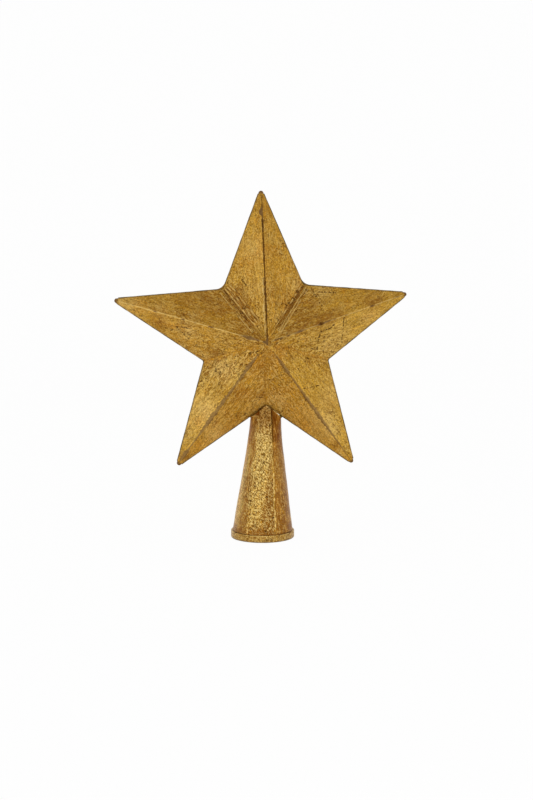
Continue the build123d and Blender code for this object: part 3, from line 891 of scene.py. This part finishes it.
# %% Centre drops
drop_reach, drop_proud = 2.7, 0.3
worn_ways = (layout["top"]["along"], layout["left"]["along"], np.array([0.0, -0.8]))
spokes = [way * length for way in worn_ways for length in np.linspace(0, 4, 17)]
for facing, face_name in star_faces:
    turn = np.linspace(0, 2 * math.pi, 49)[None, :-1]
    share = np.linspace(0.02, 1, 15)[:, None]
    wander = 1 + 0.1 * np.cos(5 * turn) + 0.25 * np.cos(2 * turn - 2.6) + 0.12 * np.cos(3 * turn)
    right, up = -drop_reach * wander * share * np.sin(turn), drop_reach * wander * share * np.cos(turn)
    depth = sheet_depth(right, up, facing)
    blunt = np.minimum(depth, half_depth - 0.35)
    outer = to_row(right, up, blunt + drop_proud * (1 - share ** 2) - 0.05, facing)
    inner = to_row(right, up, depth - 1.2, facing)
    ridge_gap = np.min([np.hypot(right - r, up - u) for r, u in spokes], axis=0)
    layers = {"ridge_mm": ridge_gap, "run_mm": up, "side_mm": right}
    layers = {key: np.concatenate([value, value[::-1]]) for key, value in layers.items()}
    cap = skin_of_rings(np.concatenate([outer, inner[::-1]]), ridge_width=0.7, ridge_tone=0.36,
                        ridge_cover=0.85, rubbed=0.5, crackle=0.9, **layers)
    make_piece(f"{face_name}_centre_drop", [cap], solder_leaf, "solder", f"{face_name}_centre_solder")

# %% [markdown]
# The rim. Front and back were joined edge to edge by a bead of solder that runs from tip to tip round every
# inner corner. The bead is a thin lumpy rod. A bevelled curve would be quicker, but at the two upper
# corners the solder was drawn round in a wide curve, so the path gets an arc there and the rod a small web
# behind it.

# %% Rim bead
bead_radius, bead_inset, bead_trim = 0.62, 0.45, 0.4
corner_radius = {"top": 8.0, "right": 8.0, "left": 2.0, "lower_left": 2.0, "lower_right": 2.0}


def rim_path(name):
    """Path of one bead through a rounded inner corner, and how far the web behind it reaches."""
    count = point_names.index(name)
    ends = []
    for other in (name, point_names[(count + 1) % len(point_names)]):
        point = layout[other]
        hand = -1 if other == name else 1
        trim = tip_trim(other) - bead_trim
        half = math.atan2(point["hands"][hand]["side"], point["reach"] - point["hands"][hand]["up"])
        ends.append(tips[other] - point["along"] * trim + hand * point["across"] * trim * math.tan(half))
    corner, radius = corners[name], corner_radius[name]
    arms = [(end - corner) / np.linalg.norm(end - corner) for end in ends]
    opening = math.acos(arms[0] @ arms[1])
    setback = radius / math.tan(opening / 2)
    bisector = (arms[0] + arms[1]) / np.linalg.norm(arms[0] + arms[1])
    hub = corner + bisector * radius / math.sin(opening / 2)
    starts = [corner + arm * setback for arm in arms]
    line_a = ends[0] + (starts[0] - ends[0]) * np.linspace(0, 1, 56)[:-1, None]
    line_b = starts[1] + (ends[1] - starts[1]) * np.linspace(0, 1, 56)[1:, None]
    swing = np.linspace(-1, 1, 15)[:, None] * (math.pi - opening) / 2
    tangent = np.array([-bisector[1], bisector[0]])
    tangent = tangent * np.sign(tangent @ (starts[0] - hub))
    arc = hub - radius * (np.cos(swing) * bisector + np.sin(swing) * tangent)
    web = (radius / math.sin(opening / 2) - radius) * np.cos(swing[:, 0] / swing.max() * math.pi / 2) ** 2
    path = np.concatenate([line_a, arc, line_b])
    reach = np.concatenate([np.zeros(len(line_a)), web, np.zeros(len(line_b))])
    return path, reach


def bead_skin(name):
    """One bead of the rim, thinner at the lowest corner, where the socket hides it."""
    path, web = rim_path(name)
    heading = np.gradient(path, axis=0)
    heading /= np.linalg.norm(heading, axis=1)[:, None]
    inward = np.stack([-heading[:, 1], heading[:, 0]], axis=1)
    inward *= np.sign((inward * -path).sum(1))[:, None]
    turn = np.linspace(0, 2 * math.pi, 13)[None, :-1]
    centre = path + inward * bead_inset
    swell = 1 + 0.16 * lumps(to_row(path[:, 0], path[:, 1], 0 * web, 1), 5, 11)[:, None]
    notch = np.linalg.norm(path - corners["lower_left"], axis=1)[:, None]
    radius = bead_radius * swell * (1 - 0.75 * ease(notch, 13, 9))
    reach_in = np.cos(turn) * np.where(np.cos(turn) > 0, radius + web[:, None], radius)
    right = centre[:, :1] + inward[:, :1] * reach_in
    up = centre[:, 1:] + inward[:, 1:] * reach_in
    return skin_of_rings(to_row(right, up, np.sin(turn) * radius, 1))


make_piece("rim_beads", [bead_skin(name) for name in point_names], rubbed_solder, "solder", "rim_solder")

# %% [markdown]
# Blunt tips. A drop of solder closes the open end of each point. It starts as flat and pointed as the sheet
# and ends round, so its rings change from a lozenge to an ellipse on the way out. A ball on the tip would
# stand out like a bead. The gilding is rubbed off its last millimetres.

# %% Tip drops
tip_blunt = {"top": 2.5, "left": 2.2, "lower_left": 2.5, "lower_right": 2.0, "right": 1.8}


def tip_skin(name):
    """Drop of solder on one tip."""
    point = layout[name]
    reach = point["reach"]
    foot = reach - tip_trim(name)
    slope = sum(facet["side"] / (reach - facet["up"]) for facet in point["hands"].values()) / 2
    hub, round_end = reach - tip_radius / math.sin(math.atan(slope)), tip_radius - 0.06
    start, stop = foot - 0.5, hub + round_end - 0.03
    run = start + (stop - start) * np.sin(np.linspace(0, math.pi / 2, 16))[:, None]
    ball = np.sqrt(np.maximum(round_end ** 2 - np.maximum(run - hub, 0) ** 2, 0.01))
    blunt_end = stop + tip_blunt[name]
    wedge = (reach - start) * slope * (blunt_end - run) / (blunt_end - start)
    over_sheet = ease(run, hub, foot)
    half_width = np.minimum(np.minimum((reach - run) * slope, wedge), ball) - 0.03 + 0.1 * over_sheet
    half_height = np.minimum(rim_half + facet_rise * (1 - run / reach), 0.95 * ball) + 0.08 * over_sheet
    turn = np.linspace(0, 2 * math.pi, 25)[None, :-1]
    power = 2 / (1.25 + 0.75 * ease(run, foot, hub + 0.6))
    x = half_width * np.sign(np.cos(turn)) * np.abs(np.cos(turn)) ** power
    depth = half_height * np.sign(np.sin(turn)) * np.abs(np.sin(turn)) ** power
    right = x * point["across"][0] + run * point["along"][0]
    up = x * point["across"][1] + run * point["along"][1]
    return skin_of_rings(
        to_row(right, up, depth, 1), ridge_mm=0.0, ridge_width=1.0, ridge_tone=0.38,
        ridge_cover=0.95 * ease(run, stop - 3.2, stop - 1.2), rubbed=0.2, run_mm=run, side_mm=x, crackle=0.5)


make_piece("tip_drops", [tip_skin(name) for name in point_names], solder_leaf, "solder", "tip_solder")

# %% [markdown]
# The socket. One sheet was rolled into a cone with its edge lapped over itself right of the front, pinched
# flat at the top, cut to a tongue on each face and bent back there so that it meets the lower edges of the
# star. Blender's own cone has none of this, so a few functions give the place of the wall at any height and
# turn.

# %% Shape of the socket
mouth_radius, band_height = 22.1, 5.4
pinch_start, pinch_radius, pinch_soft = 72.0, 12.4, 7.0
pinch_lead = 0.17  # about what the soft bend would add at the mouth
neck_top, neck_half_width, neck_half_depth = 98.5, 10.3, 6.5
seam_low, seam_high = 21.4, 17.6
tongue_bent = 5.5
# Gap between the front cut edge and the star's lower edges: mm beside the notch, and mm left open there
gap_beside = (-10.2, -5.5, 0.0, 5.5, 8.0, 10.2)
gap_open = (0.2, -0.2, -0.5, -0.7, -0.4, 0.5)


def cone_axis(height):
    """Sideways place of the cone's middle, which leans towards the star's lowest corner."""
    return socket_lean * np.maximum(height - band_height, 0) / (socket_length - band_height)


def cone_half(height, neck_half):
    """Half-width or half-depth of the cone: straight, then softly bent into the pinched neck."""
    slope = (pinch_radius - mouth_radius) / (pinch_start - band_height)
    neck_slope = (neck_half - pinch_radius) / (neck_top - pinch_start)
    past = height - pinch_start
    bend = (past + np.sqrt(past ** 2 + pinch_soft ** 2)) / 2 - pinch_lead
    return mouth_radius + slope * np.maximum(height - band_height, 0) + (neck_slope - slope) * bend


def seam_turn(height):
    """Angle of the lapped edge, in degrees right of the front."""
    return seam_low + (seam_high - seam_low) * height / socket_length


def cone_place(height, turn, grow):
    """Row-frame place on the cone; turn is in degrees right of the front, grow is added to the radius."""
    angle = np.radians(turn)
    x = cone_axis(height) + (cone_half(height, neck_half_width) + grow) * np.sin(angle)
    bent = tongue_bent * ease(height, 80, 97) * ease(np.abs(np.cos(angle)), 0.3, 0.8)
    y = -(cone_half(height, neck_half_depth) + grow - bent) * np.cos(angle)
    return np.stack(np.broadcast_arrays(x, y, height), axis=-1)


def cut_height(turn):
    """Height of the socket's cut edge, which follows the lower edges of the star, found in half steps."""
    rises = [(tips[name][1] - corners["lower_left"][1]) / abs(tips[name][0])
             for name in ("lower_left", "lower_right")]
    in_front = ease(np.cos(np.radians(turn)), 0.0, 0.4)
    height = np.full_like(turn, socket_length)
    for _ in range(12):
        aside = cone_place(height, turn, 0)[..., 0] - star_seat[0]
        line = socket_length + np.where(aside < 0, *rises) * np.abs(aside) - 0.15
        line = line - np.interp(aside, gap_beside, gap_open) * in_front
        height = 0.5 * height + 0.5 * line
    return height


def cone_dents(height, turn):
    """How far the cone's wall is pushed in or out by hand work."""
    places = cone_place(height, turn, 0)
    return (0.22 * lumps(places, 18, 21) + 0.09 * lumps(places, 6, 22)) * ease(height, 4, 9)


print("half-width mm at heights 20 and 95:", cone_half(np.array([20.0, 95.0]), neck_half_width).round(1))

# %% [markdown]
# The skin of the socket is a spiral: it starts under the lap, goes once round, and ends on top of its own
# beginning, where its edge makes a step. Left of the tongue a small wedge of the sheet is tucked in, and its
# hollow gets painted shade.

# %% Socket sheet
lap = np.linspace(-14, 360, 241)[None, :]
lift = (sheet + 0.08) * ease(lap, 268, 344)
top = cut_height(seam_turn(90.0) + lap)
height = np.linspace(0, 1, 116)[:, None] * top
turn = seam_turn(height) + lap
straight = cone_place(height, turn, lift)
aside = straight[..., 0] - star_seat[0]
around = (turn + 180) % 360 - 180
in_front = np.abs(around) < 90
tuck = ease(aside, -4.4, -5.6) * ease(height, 89.3, 90.5) * in_front
hand_work = cone_dents(height, turn) - 0.8 * tuck
outer = cone_place(height, turn, lift + hand_work)
inner = cone_place(height, turn, lift + hand_work - sheet)
print("cut edge of the socket mm, lowest and highest:", round(top.min(), 2), round(top.max(), 2))

# %% [markdown]
# Zones of the socket, by degrees round from the front and millimetres up. A bright crackled zone runs up the
# front, between a brown one at its left and a brown one that reaches past the seam to the right. The brown
# zones are partly rubbed bole and partly painted shade where the cone turns away from the light. The foot
# above the band and the neck under the star are brown too, and a thin bright strip at the far left is a
# painted reflection.

# %% Zones of the socket
ragged = around + 16 * lumps(straight * [1, 1, 0.5], 8, 23)
bright_end = -2 + 10 * ease(height, 16, 44) + 12 * ease(height, 48, 66) - 5 * ease(height, 70, 76)
bright_zone = ease(ragged, -58, -30) * ease(around, bright_end + 6, bright_end - 4)
bright_zone = bright_zone * (0.5 + 0.5 * np.maximum(hump(height, 55, 26), ease(height, 62, 78)))
# The far-left strip is warmer and carries a painted reflection
left_strip = ease(around, -60, -68) * ease(around, -90, -80)
left_limit = -56 - 30 * ease(height, 66, 84)
left_brown = ease(ragged, left_limit - 4, left_limit + 4) * ease(ragged, -32, -44)
past_bright = ease(around, bright_end - 12, bright_end + 2)
on_lap = lap > 180
# Painted shade right of the bright zone on the lower lap
beside_seam = past_bright * on_lap * ease(around, 60, 40) * ease(height, 50, 38)
right_brown = ease(lap, 1, 5) * ease(lap + ragged - around, 120, 60) * (0.6 + 0.4 * ease(height, 58, 76))
middle_brown = (0.78 - 0.2 * ease(height, 30, 50)) * past_bright * ease(around, 90, 70) * (1 - 0.4 * on_lap)
# Rubbed bole and painted shade, the hollow of the tucked wedge included
brown_and_shade_zone = functools.reduce(np.maximum, (
    right_brown, (0.6 + 0.15 * ease(height, 40, 85)) * left_brown, middle_brown,
    0.8 * ease(height, 14, 7), 0.42 * ease(height, 74, 84), tuck))
print("mean of the bright and the brown zone:", round(bright_zone.mean(), 2), round(brown_and_shade_zone.mean(), 2))

# %% [markdown]
# Lines of the socket. Painted shade darkens the foot of the lap's step, the sheet just above the band and the
# sheet under the star. The edge of the lap is a painted highlight, a bright broken line, on the lower half,
# and a painted shadow, a dark line beside it, above. The tongue has a painted highlight on its left shoulder
# and along its cut edge on the right.

# %% Lines of the socket
off_line = 9
per_degree = math.pi / 180 * cone_half(height, neck_half_width)
seam_gap = (360 - lap) * per_degree
right_gap = np.where(lap < 180, np.maximum(lap, 0), 180) * per_degree
below_cut = top - height
seam_dark = ease(height, 60, 72)
# Painted shade at the foot of the lap's step, above the band and under the star
groove = functools.reduce(np.minimum, (
    (0.6 - 0.25 * seam_dark) * right_gap + 0.1, np.maximum(height - band_height, 0) + 0.2,
    seam_gap + 0.3 + 2 * (1 - seam_dark), below_cut + 0.45))
# Painted highlights on the tongue's left shoulder, its right cut edge and the lap's lower edge
shoulder = np.abs(height - 89.7) + off_line * (1 - ease(aside, -5.0, -5.8))
cut_edge = below_cut + off_line * (1 - ease(aside, 4.2, 5.0))
bright_line = functools.reduce(np.minimum, (
    seam_gap + off_line * seam_dark, cut_edge, np.where(in_front, shoulder, off_line)))
seam_breaks = ease(lumps(straight, 3.0, 25), -0.15, 0.2)
bright_width = np.where(height > 85, 0.45, 0.5 * ease(height, 66, 50) * ease(height, 8, 14) * seam_breaks)
# Painted shadow: a dark line beside the lap's upper edge
shadow_line = np.abs(right_gap - 0.5) + off_line * (1 - seam_dark)
darker = shadow_line < bright_line
print("share of the socket within 1 mm of a groove:", round((groove < 1).mean(), 3))

# %% [markdown]
# Now the sheet gets its zones and lines as marks. Painted highlights are the last touches: pale dots along
# the upper seam, a glint at the tip of the tongue and a little more light in the bright zone.

# %% Socket cone
crowded = 0.75 + 0.25 * np.maximum(ease(height, 60, 72), ease(height, 40, 28))
crackled = functools.reduce(np.maximum, (bright_zone * crowded, 0.2 * left_strip, 0.7 * beside_seam))
# Painted highlights: dots along the upper seam, a glint at the tongue's tip and a little light on the bright
# zone
seam_beads = ease(seam_gap, 1.6, 0.6) * ease(lumps(straight, 2.0, 24), 0.0, 0.3) * seam_dark
glint = ease(below_cut, 1.8, 0.6) * ease(np.abs(aside - 1.5), 2.0, 0.8) * in_front
socket_highlights = 0.1 * bright_zone * hump(height, 70, 13) + 0.8 * seam_beads + 0.9 * glint
mean_radius = 16
cone = skin_between(
    outer, inner, ridge_mm=np.minimum(bright_line, shadow_line),
    ridge_width=np.where(darker, 0.5, bright_width), ridge_tone=np.where(darker, 0.0, 0.9),
    groove_mm=groove, rubbed=brown_and_shade_zone, crackle=0.2 + 0.8 * crackled,
    warm=0.8 * brown_and_shade_zone + 0.9 * left_strip, deep=0.95 * beside_seam,
    bright=0.35 * left_strip * ease(height, 70, 45) + socket_highlights,
    run_mm=height, side_mm=np.radians(turn) * mean_radius)
make_piece("socket_sheet", [cone], socket_leaf, "gilded_sheet", "socket_cone")

# %% [markdown]
# Solder along the lap. It was wiped into the step at the edge of the lap and stands in small beads on the
# lower half, whose tops get a painted highlight, while on the upper half it is darkened as painted shade. It
# is a thin rod of rings whose size and place wander with noise, because a row of separate balls would look
# like a string of pearls.

# %% Seam solder
seam_thin, seam_plump = 0.34, 0.6
seam_height = np.linspace(band_height + 0.3, 84, 190)[:, None]
seam_round = np.linspace(0, 2 * math.pi, 11)[None, :-1]
seam_middle = seam_turn(seam_height) + 0.4
seam_places = cone_place(seam_height, seam_middle, 0.3)
beads = lumps(seam_places, 2.2, 31) * 0.5 + 0.5
seam_size = seam_thin + seam_plump * np.maximum(beads - 0.45, 0) * ease(seam_height, 62, 40)
seam_spread = np.degrees(1.25 * seam_size * np.cos(seam_round) / cone_half(seam_height, neck_half_width))
seam_aside = seam_middle + 1.3 * lumps(seam_places, 9, 32) + seam_spread
seam_level = 0.26 + cone_dents(seam_height, seam_turn(seam_height))
seam_rings = cone_place(seam_height + 0 * seam_round, seam_aside, seam_level + seam_size * np.sin(seam_round))
# Painted highlight on the tops of the plump beads of the lower half, painted shade on the upper half
seam_lower_half = ease(seam_height, 62, 50)
bead_highlight = 0.8 * ease(seam_size, 0.36, 0.42) * seam_lower_half * ease(seam_height, 8, 14)
seam = skin_of_rings(seam_rings, ridge_mm=0.0, ridge_width=bead_highlight, ridge_tone=1.0, ridge_cover=1.0,
                     groove_mm=0.3 + 1.5 * seam_lower_half, run_mm=seam_height)
make_piece("seam_beads", [seam], solder_leaf, "solder", "socket_seam_solder")

# %% [markdown]
# A flat strip, bent round the mouth and soldered at the back, stiffens the open end. Its section is a
# rounded rectangle carried round the circle, with slight waves from the hammer. A bevelled circle could
# make it too, but not with waves that differ inside and outside. The two ends stop short of each other.

# %% Mouth band
band_thickness, band_round, band_gap = 1.4, 0.5, 0.8
half_gap = math.degrees(band_gap / 2 / mouth_radius)
wave_depth, wave_height = 0.16, 0.22


def band_section(grow):
    """Rounded rectangle of the band: distance out from the mouth and height, in order round the section."""
    section = [(-0.1, 0.0), (-0.1, band_height)]
    for middle, start in ((band_height - band_round, 90), (band_round, 0)):
        for step in np.linspace(0, 90, 6):
            angle = math.radians(start - step)
            section.append((band_thickness - band_round + (band_round + grow) * math.cos(angle),
                            middle + band_round * math.sin(angle)))
    return np.array(section).T[:, None, :]


def round_mouth(turn, out, level):
    """Row-frame places at a distance out from the mouth's middle; turn is in degrees right of the front."""
    angle = np.radians(turn)
    return np.stack(np.broadcast_arrays(out * np.sin(angle), -out * np.cos(angle), level), axis=-1)


band_out, band_level = band_section(-0.04)
band_turn = np.linspace(180 + half_gap, 540 - half_gap, 220)[:, None]
wave_places = round_mouth(band_turn, 30, 0 * band_turn)
wave = wave_depth * (lumps(wave_places, 11, 41) - 1)
out = mouth_radius + band_out + wave * (band_out > 0)
level = np.maximum(band_level + wave_height * (lumps(wave_places, 8, 42) - 0.7) * (band_level > 3), 0.0)
# The band's top edge gets a painted highlight and its foot painted shade
band = skin_of_rings(
    round_mouth(band_turn, out, level), ridge_mm=np.abs(band_level - band_height + 0.3),
    ridge_width=0.4 * ease(lumps(wave_places, 7, 43), -0.2, 0.3), ridge_tone=0.85, crackle=0.45, rubbed=0.35,
    edge_mm=np.minimum(np.abs(band_level - 0.2), 9), groove_mm=np.minimum(band_level + 0.1, 6),
    run_mm=level, side_mm=np.radians(band_turn) * 23)
make_piece("mouth_strip", [band], socket_leaf, "gilded_sheet", "mouth_band")

# %% [markdown]
# A small drop of solder fills the gap between the band's ends at the back. It has the section of the band,
# a little smaller at both ends than in the middle, so it looks plump and wiped rather than cut.

# %% Band joint
joint_turn = np.linspace(180 - 1.6 * half_gap, 180 + 1.6 * half_gap, 9)[:, None]
plump = 1 - ((joint_turn - 180) / (1.7 * half_gap)) ** 2
joint_out, joint_level = band_section(0.0)
joint_out = mouth_radius + 0.2 + (joint_out - 0.2) * (0.85 + 0.13 * plump)
joint_level = band_height / 2 + (joint_level - band_height / 2) * (0.9 + 0.09 * plump)
joint = skin_of_rings(round_mouth(joint_turn, joint_out, joint_level))
make_piece("band_joint_drop", [joint], rubbed_solder, "solder", "band_joint_solder")

# %% [markdown]
# Four drops hold the star on its socket: one where each side wall meets the rim, and one behind the tongue
# on each face. Each is a lump of rings with a wandering radius, sunk into the pieces that it joins.

# %% Socket joint
wall_drop, tongue_drop = (1.2, 1.9, 1.3), (1.5, 0.9, 1.5)


def lump_skin(centre, size, seed):
    """Rounded lump of solder about a place, with a half-size along each axis."""
    level = np.linspace(-0.985, 0.985, 13)[:, None]
    turn = np.linspace(0, 2 * math.pi, 21)[None, :-1]
    flat = np.sqrt(1 - level ** 2)
    way = np.stack(np.broadcast_arrays(flat * np.cos(turn), flat * np.sin(turn), level), axis=-1)
    swell = 1 + 0.22 * lumps(way * 3 + seed, 2.0, seed)
    return skin_of_rings(np.array(centre) + way * np.array(size) * swell[..., None])


joint_lumps = []
for hand in (-1, 1):
    side_wall = np.array([hand * 90.0])
    wall = cone_place(cut_height(side_wall), side_wall, 0)[0]
    joint_lumps.append(lump_skin(wall + [-hand * 0.3, 0, -0.1], wall_drop, 3.0 + hand))
    behind = hand * (cone_half(socket_length - 1.0, neck_half_depth) - tongue_bent - 1.2)
    joint_lumps.append(lump_skin((star_seat[0], behind, socket_length - 1.2), tongue_drop, 6.0 + hand))
make_piece("socket_joint_drops", joint_lumps, rubbed_solder, "solder", "socket_joint_solder")

# %% [markdown]
# The studio. The object stands on a white sweep of paper that curves up behind it. A flat floor and a wall
# would show a line where they meet. For the camera, and for what the metal mirrors, most of the paper's
# white comes from the paper itself, so that the background stays white while the lamps stay at a plain
# level; the rest is lit, which keeps the object's shadow.

# %% Paper sweep
sweep_front, sweep_back, sweep_side, sweep_top, sweep_bend = -4.0, 1.8, 4.0, 2.6, 0.5
profile = [(sweep_front, 0.0), (0.0, 0.0)]
for angle in np.radians(np.linspace(0, 90, 16)):
    profile.append((sweep_back - sweep_bend + sweep_bend * math.sin(angle),
                    sweep_bend - sweep_bend * math.cos(angle)))
profile.append((sweep_back, sweep_top))
paper_mesh = bpy.data.meshes.new("paper_sweep")
paper_places = [(x, y, z) for y, z in profile for x in (-sweep_side, sweep_side)]
paper_faces = [(2 * i, 2 * i + 1, 2 * i + 3, 2 * i + 2) for i in range(len(profile) - 1)]
paper_mesh.from_pydata(paper_places, [], paper_faces)
paper_mesh.shade_smooth()
paper = bpy.data.objects.new("paper_sweep", paper_mesh)
bpy.context.scene.collection.objects.link(paper)
print("paper sweep:", len(profile), "rows")

# %% [markdown]
# White background paper is uncoated and matt, so it is plain diffuse white with no gloss at all. The share
# of its own white is the same for what the camera sees directly, in metal or through glass.

# %% Paper
paper_own = 0.96
paper_white = bpy.data.materials.new("white_background_paper")
paper_white.use_nodes = True
paper_tree = paper_white.node_tree
paper_tree.nodes.remove(paper_tree.nodes["Principled BSDF"])
put = functools.partial(add_node, paper_tree)
seen = put("LightPath", out="Is Camera Ray")
for ray in ("Is Glossy Ray", "Is Transmission Ray"):
    seen = put("Math", (seen, put("LightPath", out=ray)), **larger)
own_white = put("Math", (seen, paper_own), **times)
lit_paper = put("BsdfDiffuse", {"Color": linear("#f6f6f5")})
white_paper = put("Emission", {"Color": linear("#ffffff"), "Strength": 1.0})
paper_mix = put("MixShader", (own_white, lit_paper, white_paper))
paper_tree.links.new(paper_mix, paper_tree.nodes["Material Output"].inputs["Surface"])
paper_mesh.materials.append(paper_white)
print(f"{paper_white.name}: {len(paper_tree.nodes)} nodes")

# %% [markdown]
# Light. Three big soft boxes make an arc in front of the star, the left one a little stronger, so that
# facets which face left are brightest, those that face right a little less, and those that face up, towards
# a plain grey room, darkest. Small lamps would draw hard glints on the metal.

# %% Lamps and room
aim = Vector((2.94, 0.0, 101.08)) * MM
lamp_aim = aim + Vector((0, 0, 0.04))


def look_from(thing, target, azimuth, elevation, distance):
    """Place a lamp or camera at degrees round and above a target, make it look there, and link it."""
    a, e = math.radians(azimuth), math.radians(elevation)
    away = Vector((math.sin(a) * math.cos(e), -math.cos(a) * math.cos(e), math.sin(e)))
    thing.location = target + away * distance
    thing.rotation_euler = (-away).to_track_quat("-Z", "Y").to_euler()
    bpy.context.scene.collection.objects.link(thing)


# Azimuth and elevation in degrees, distance, width and height in metres, and watts
soft_boxes = {
    "left_soft_box": (-52, 7, 1.5, 1.2, 1.3, 5.6),
    "front_soft_box": (-4, 11, 1.6, 1.2, 1.1, 4.0),
    "right_soft_box": (54, 7, 1.5, 1.2, 1.3, 5.0)}
for name, (azimuth, elevation, distance, width, tall, watts) in soft_boxes.items():
    lamp = bpy.data.lights.new(name, "AREA")
    lamp.shape = "RECTANGLE"
    lamp.size, lamp.size_y, lamp.energy = width, tall, watts
    box = bpy.data.objects.new(name, lamp)
    box.visible_camera = False
    look_from(box, lamp_aim, azimuth, elevation, distance)
room = bpy.data.worlds.new("plain_grey_room")
room.use_nodes = True
room.node_tree.nodes["Background"].inputs["Color"].default_value = linear("#ffffff")
room.node_tree.nodes["Background"].inputs["Strength"].default_value = 0.68
bpy.context.scene.world = room
bpy.context.scene.view_settings.view_transform = "Standard"
print("soft boxes:", ", ".join(soft_boxes))

# %% [markdown]
# The camera stands where the photographer stood: a little left of the star's middle and a little above it,
# about eight tenths of a metre away. These values come from matching the tips, the inner corners and the
# band.

# %% Camera
view_azimuth, view_elevation, view_distance = -4.19, 5.6, 0.80035
focal_pixels, frame_height, sensor = 1094.81, 800, 36.0
camera = bpy.data.objects.new("camera", bpy.data.cameras.new("camera"))
camera.data.sensor_width = sensor
camera.data.lens = focal_pixels * sensor / frame_height
look_from(camera, aim, view_azimuth, view_elevation, view_distance)
bpy.context.scene.camera = camera
print("lens mm:", round(camera.data.lens, 2))

# %% [markdown]
# Last, the scene is brought up to date. Looks never change an object's dimensions.

# %% Update the scene
bpy.context.view_layer.update()
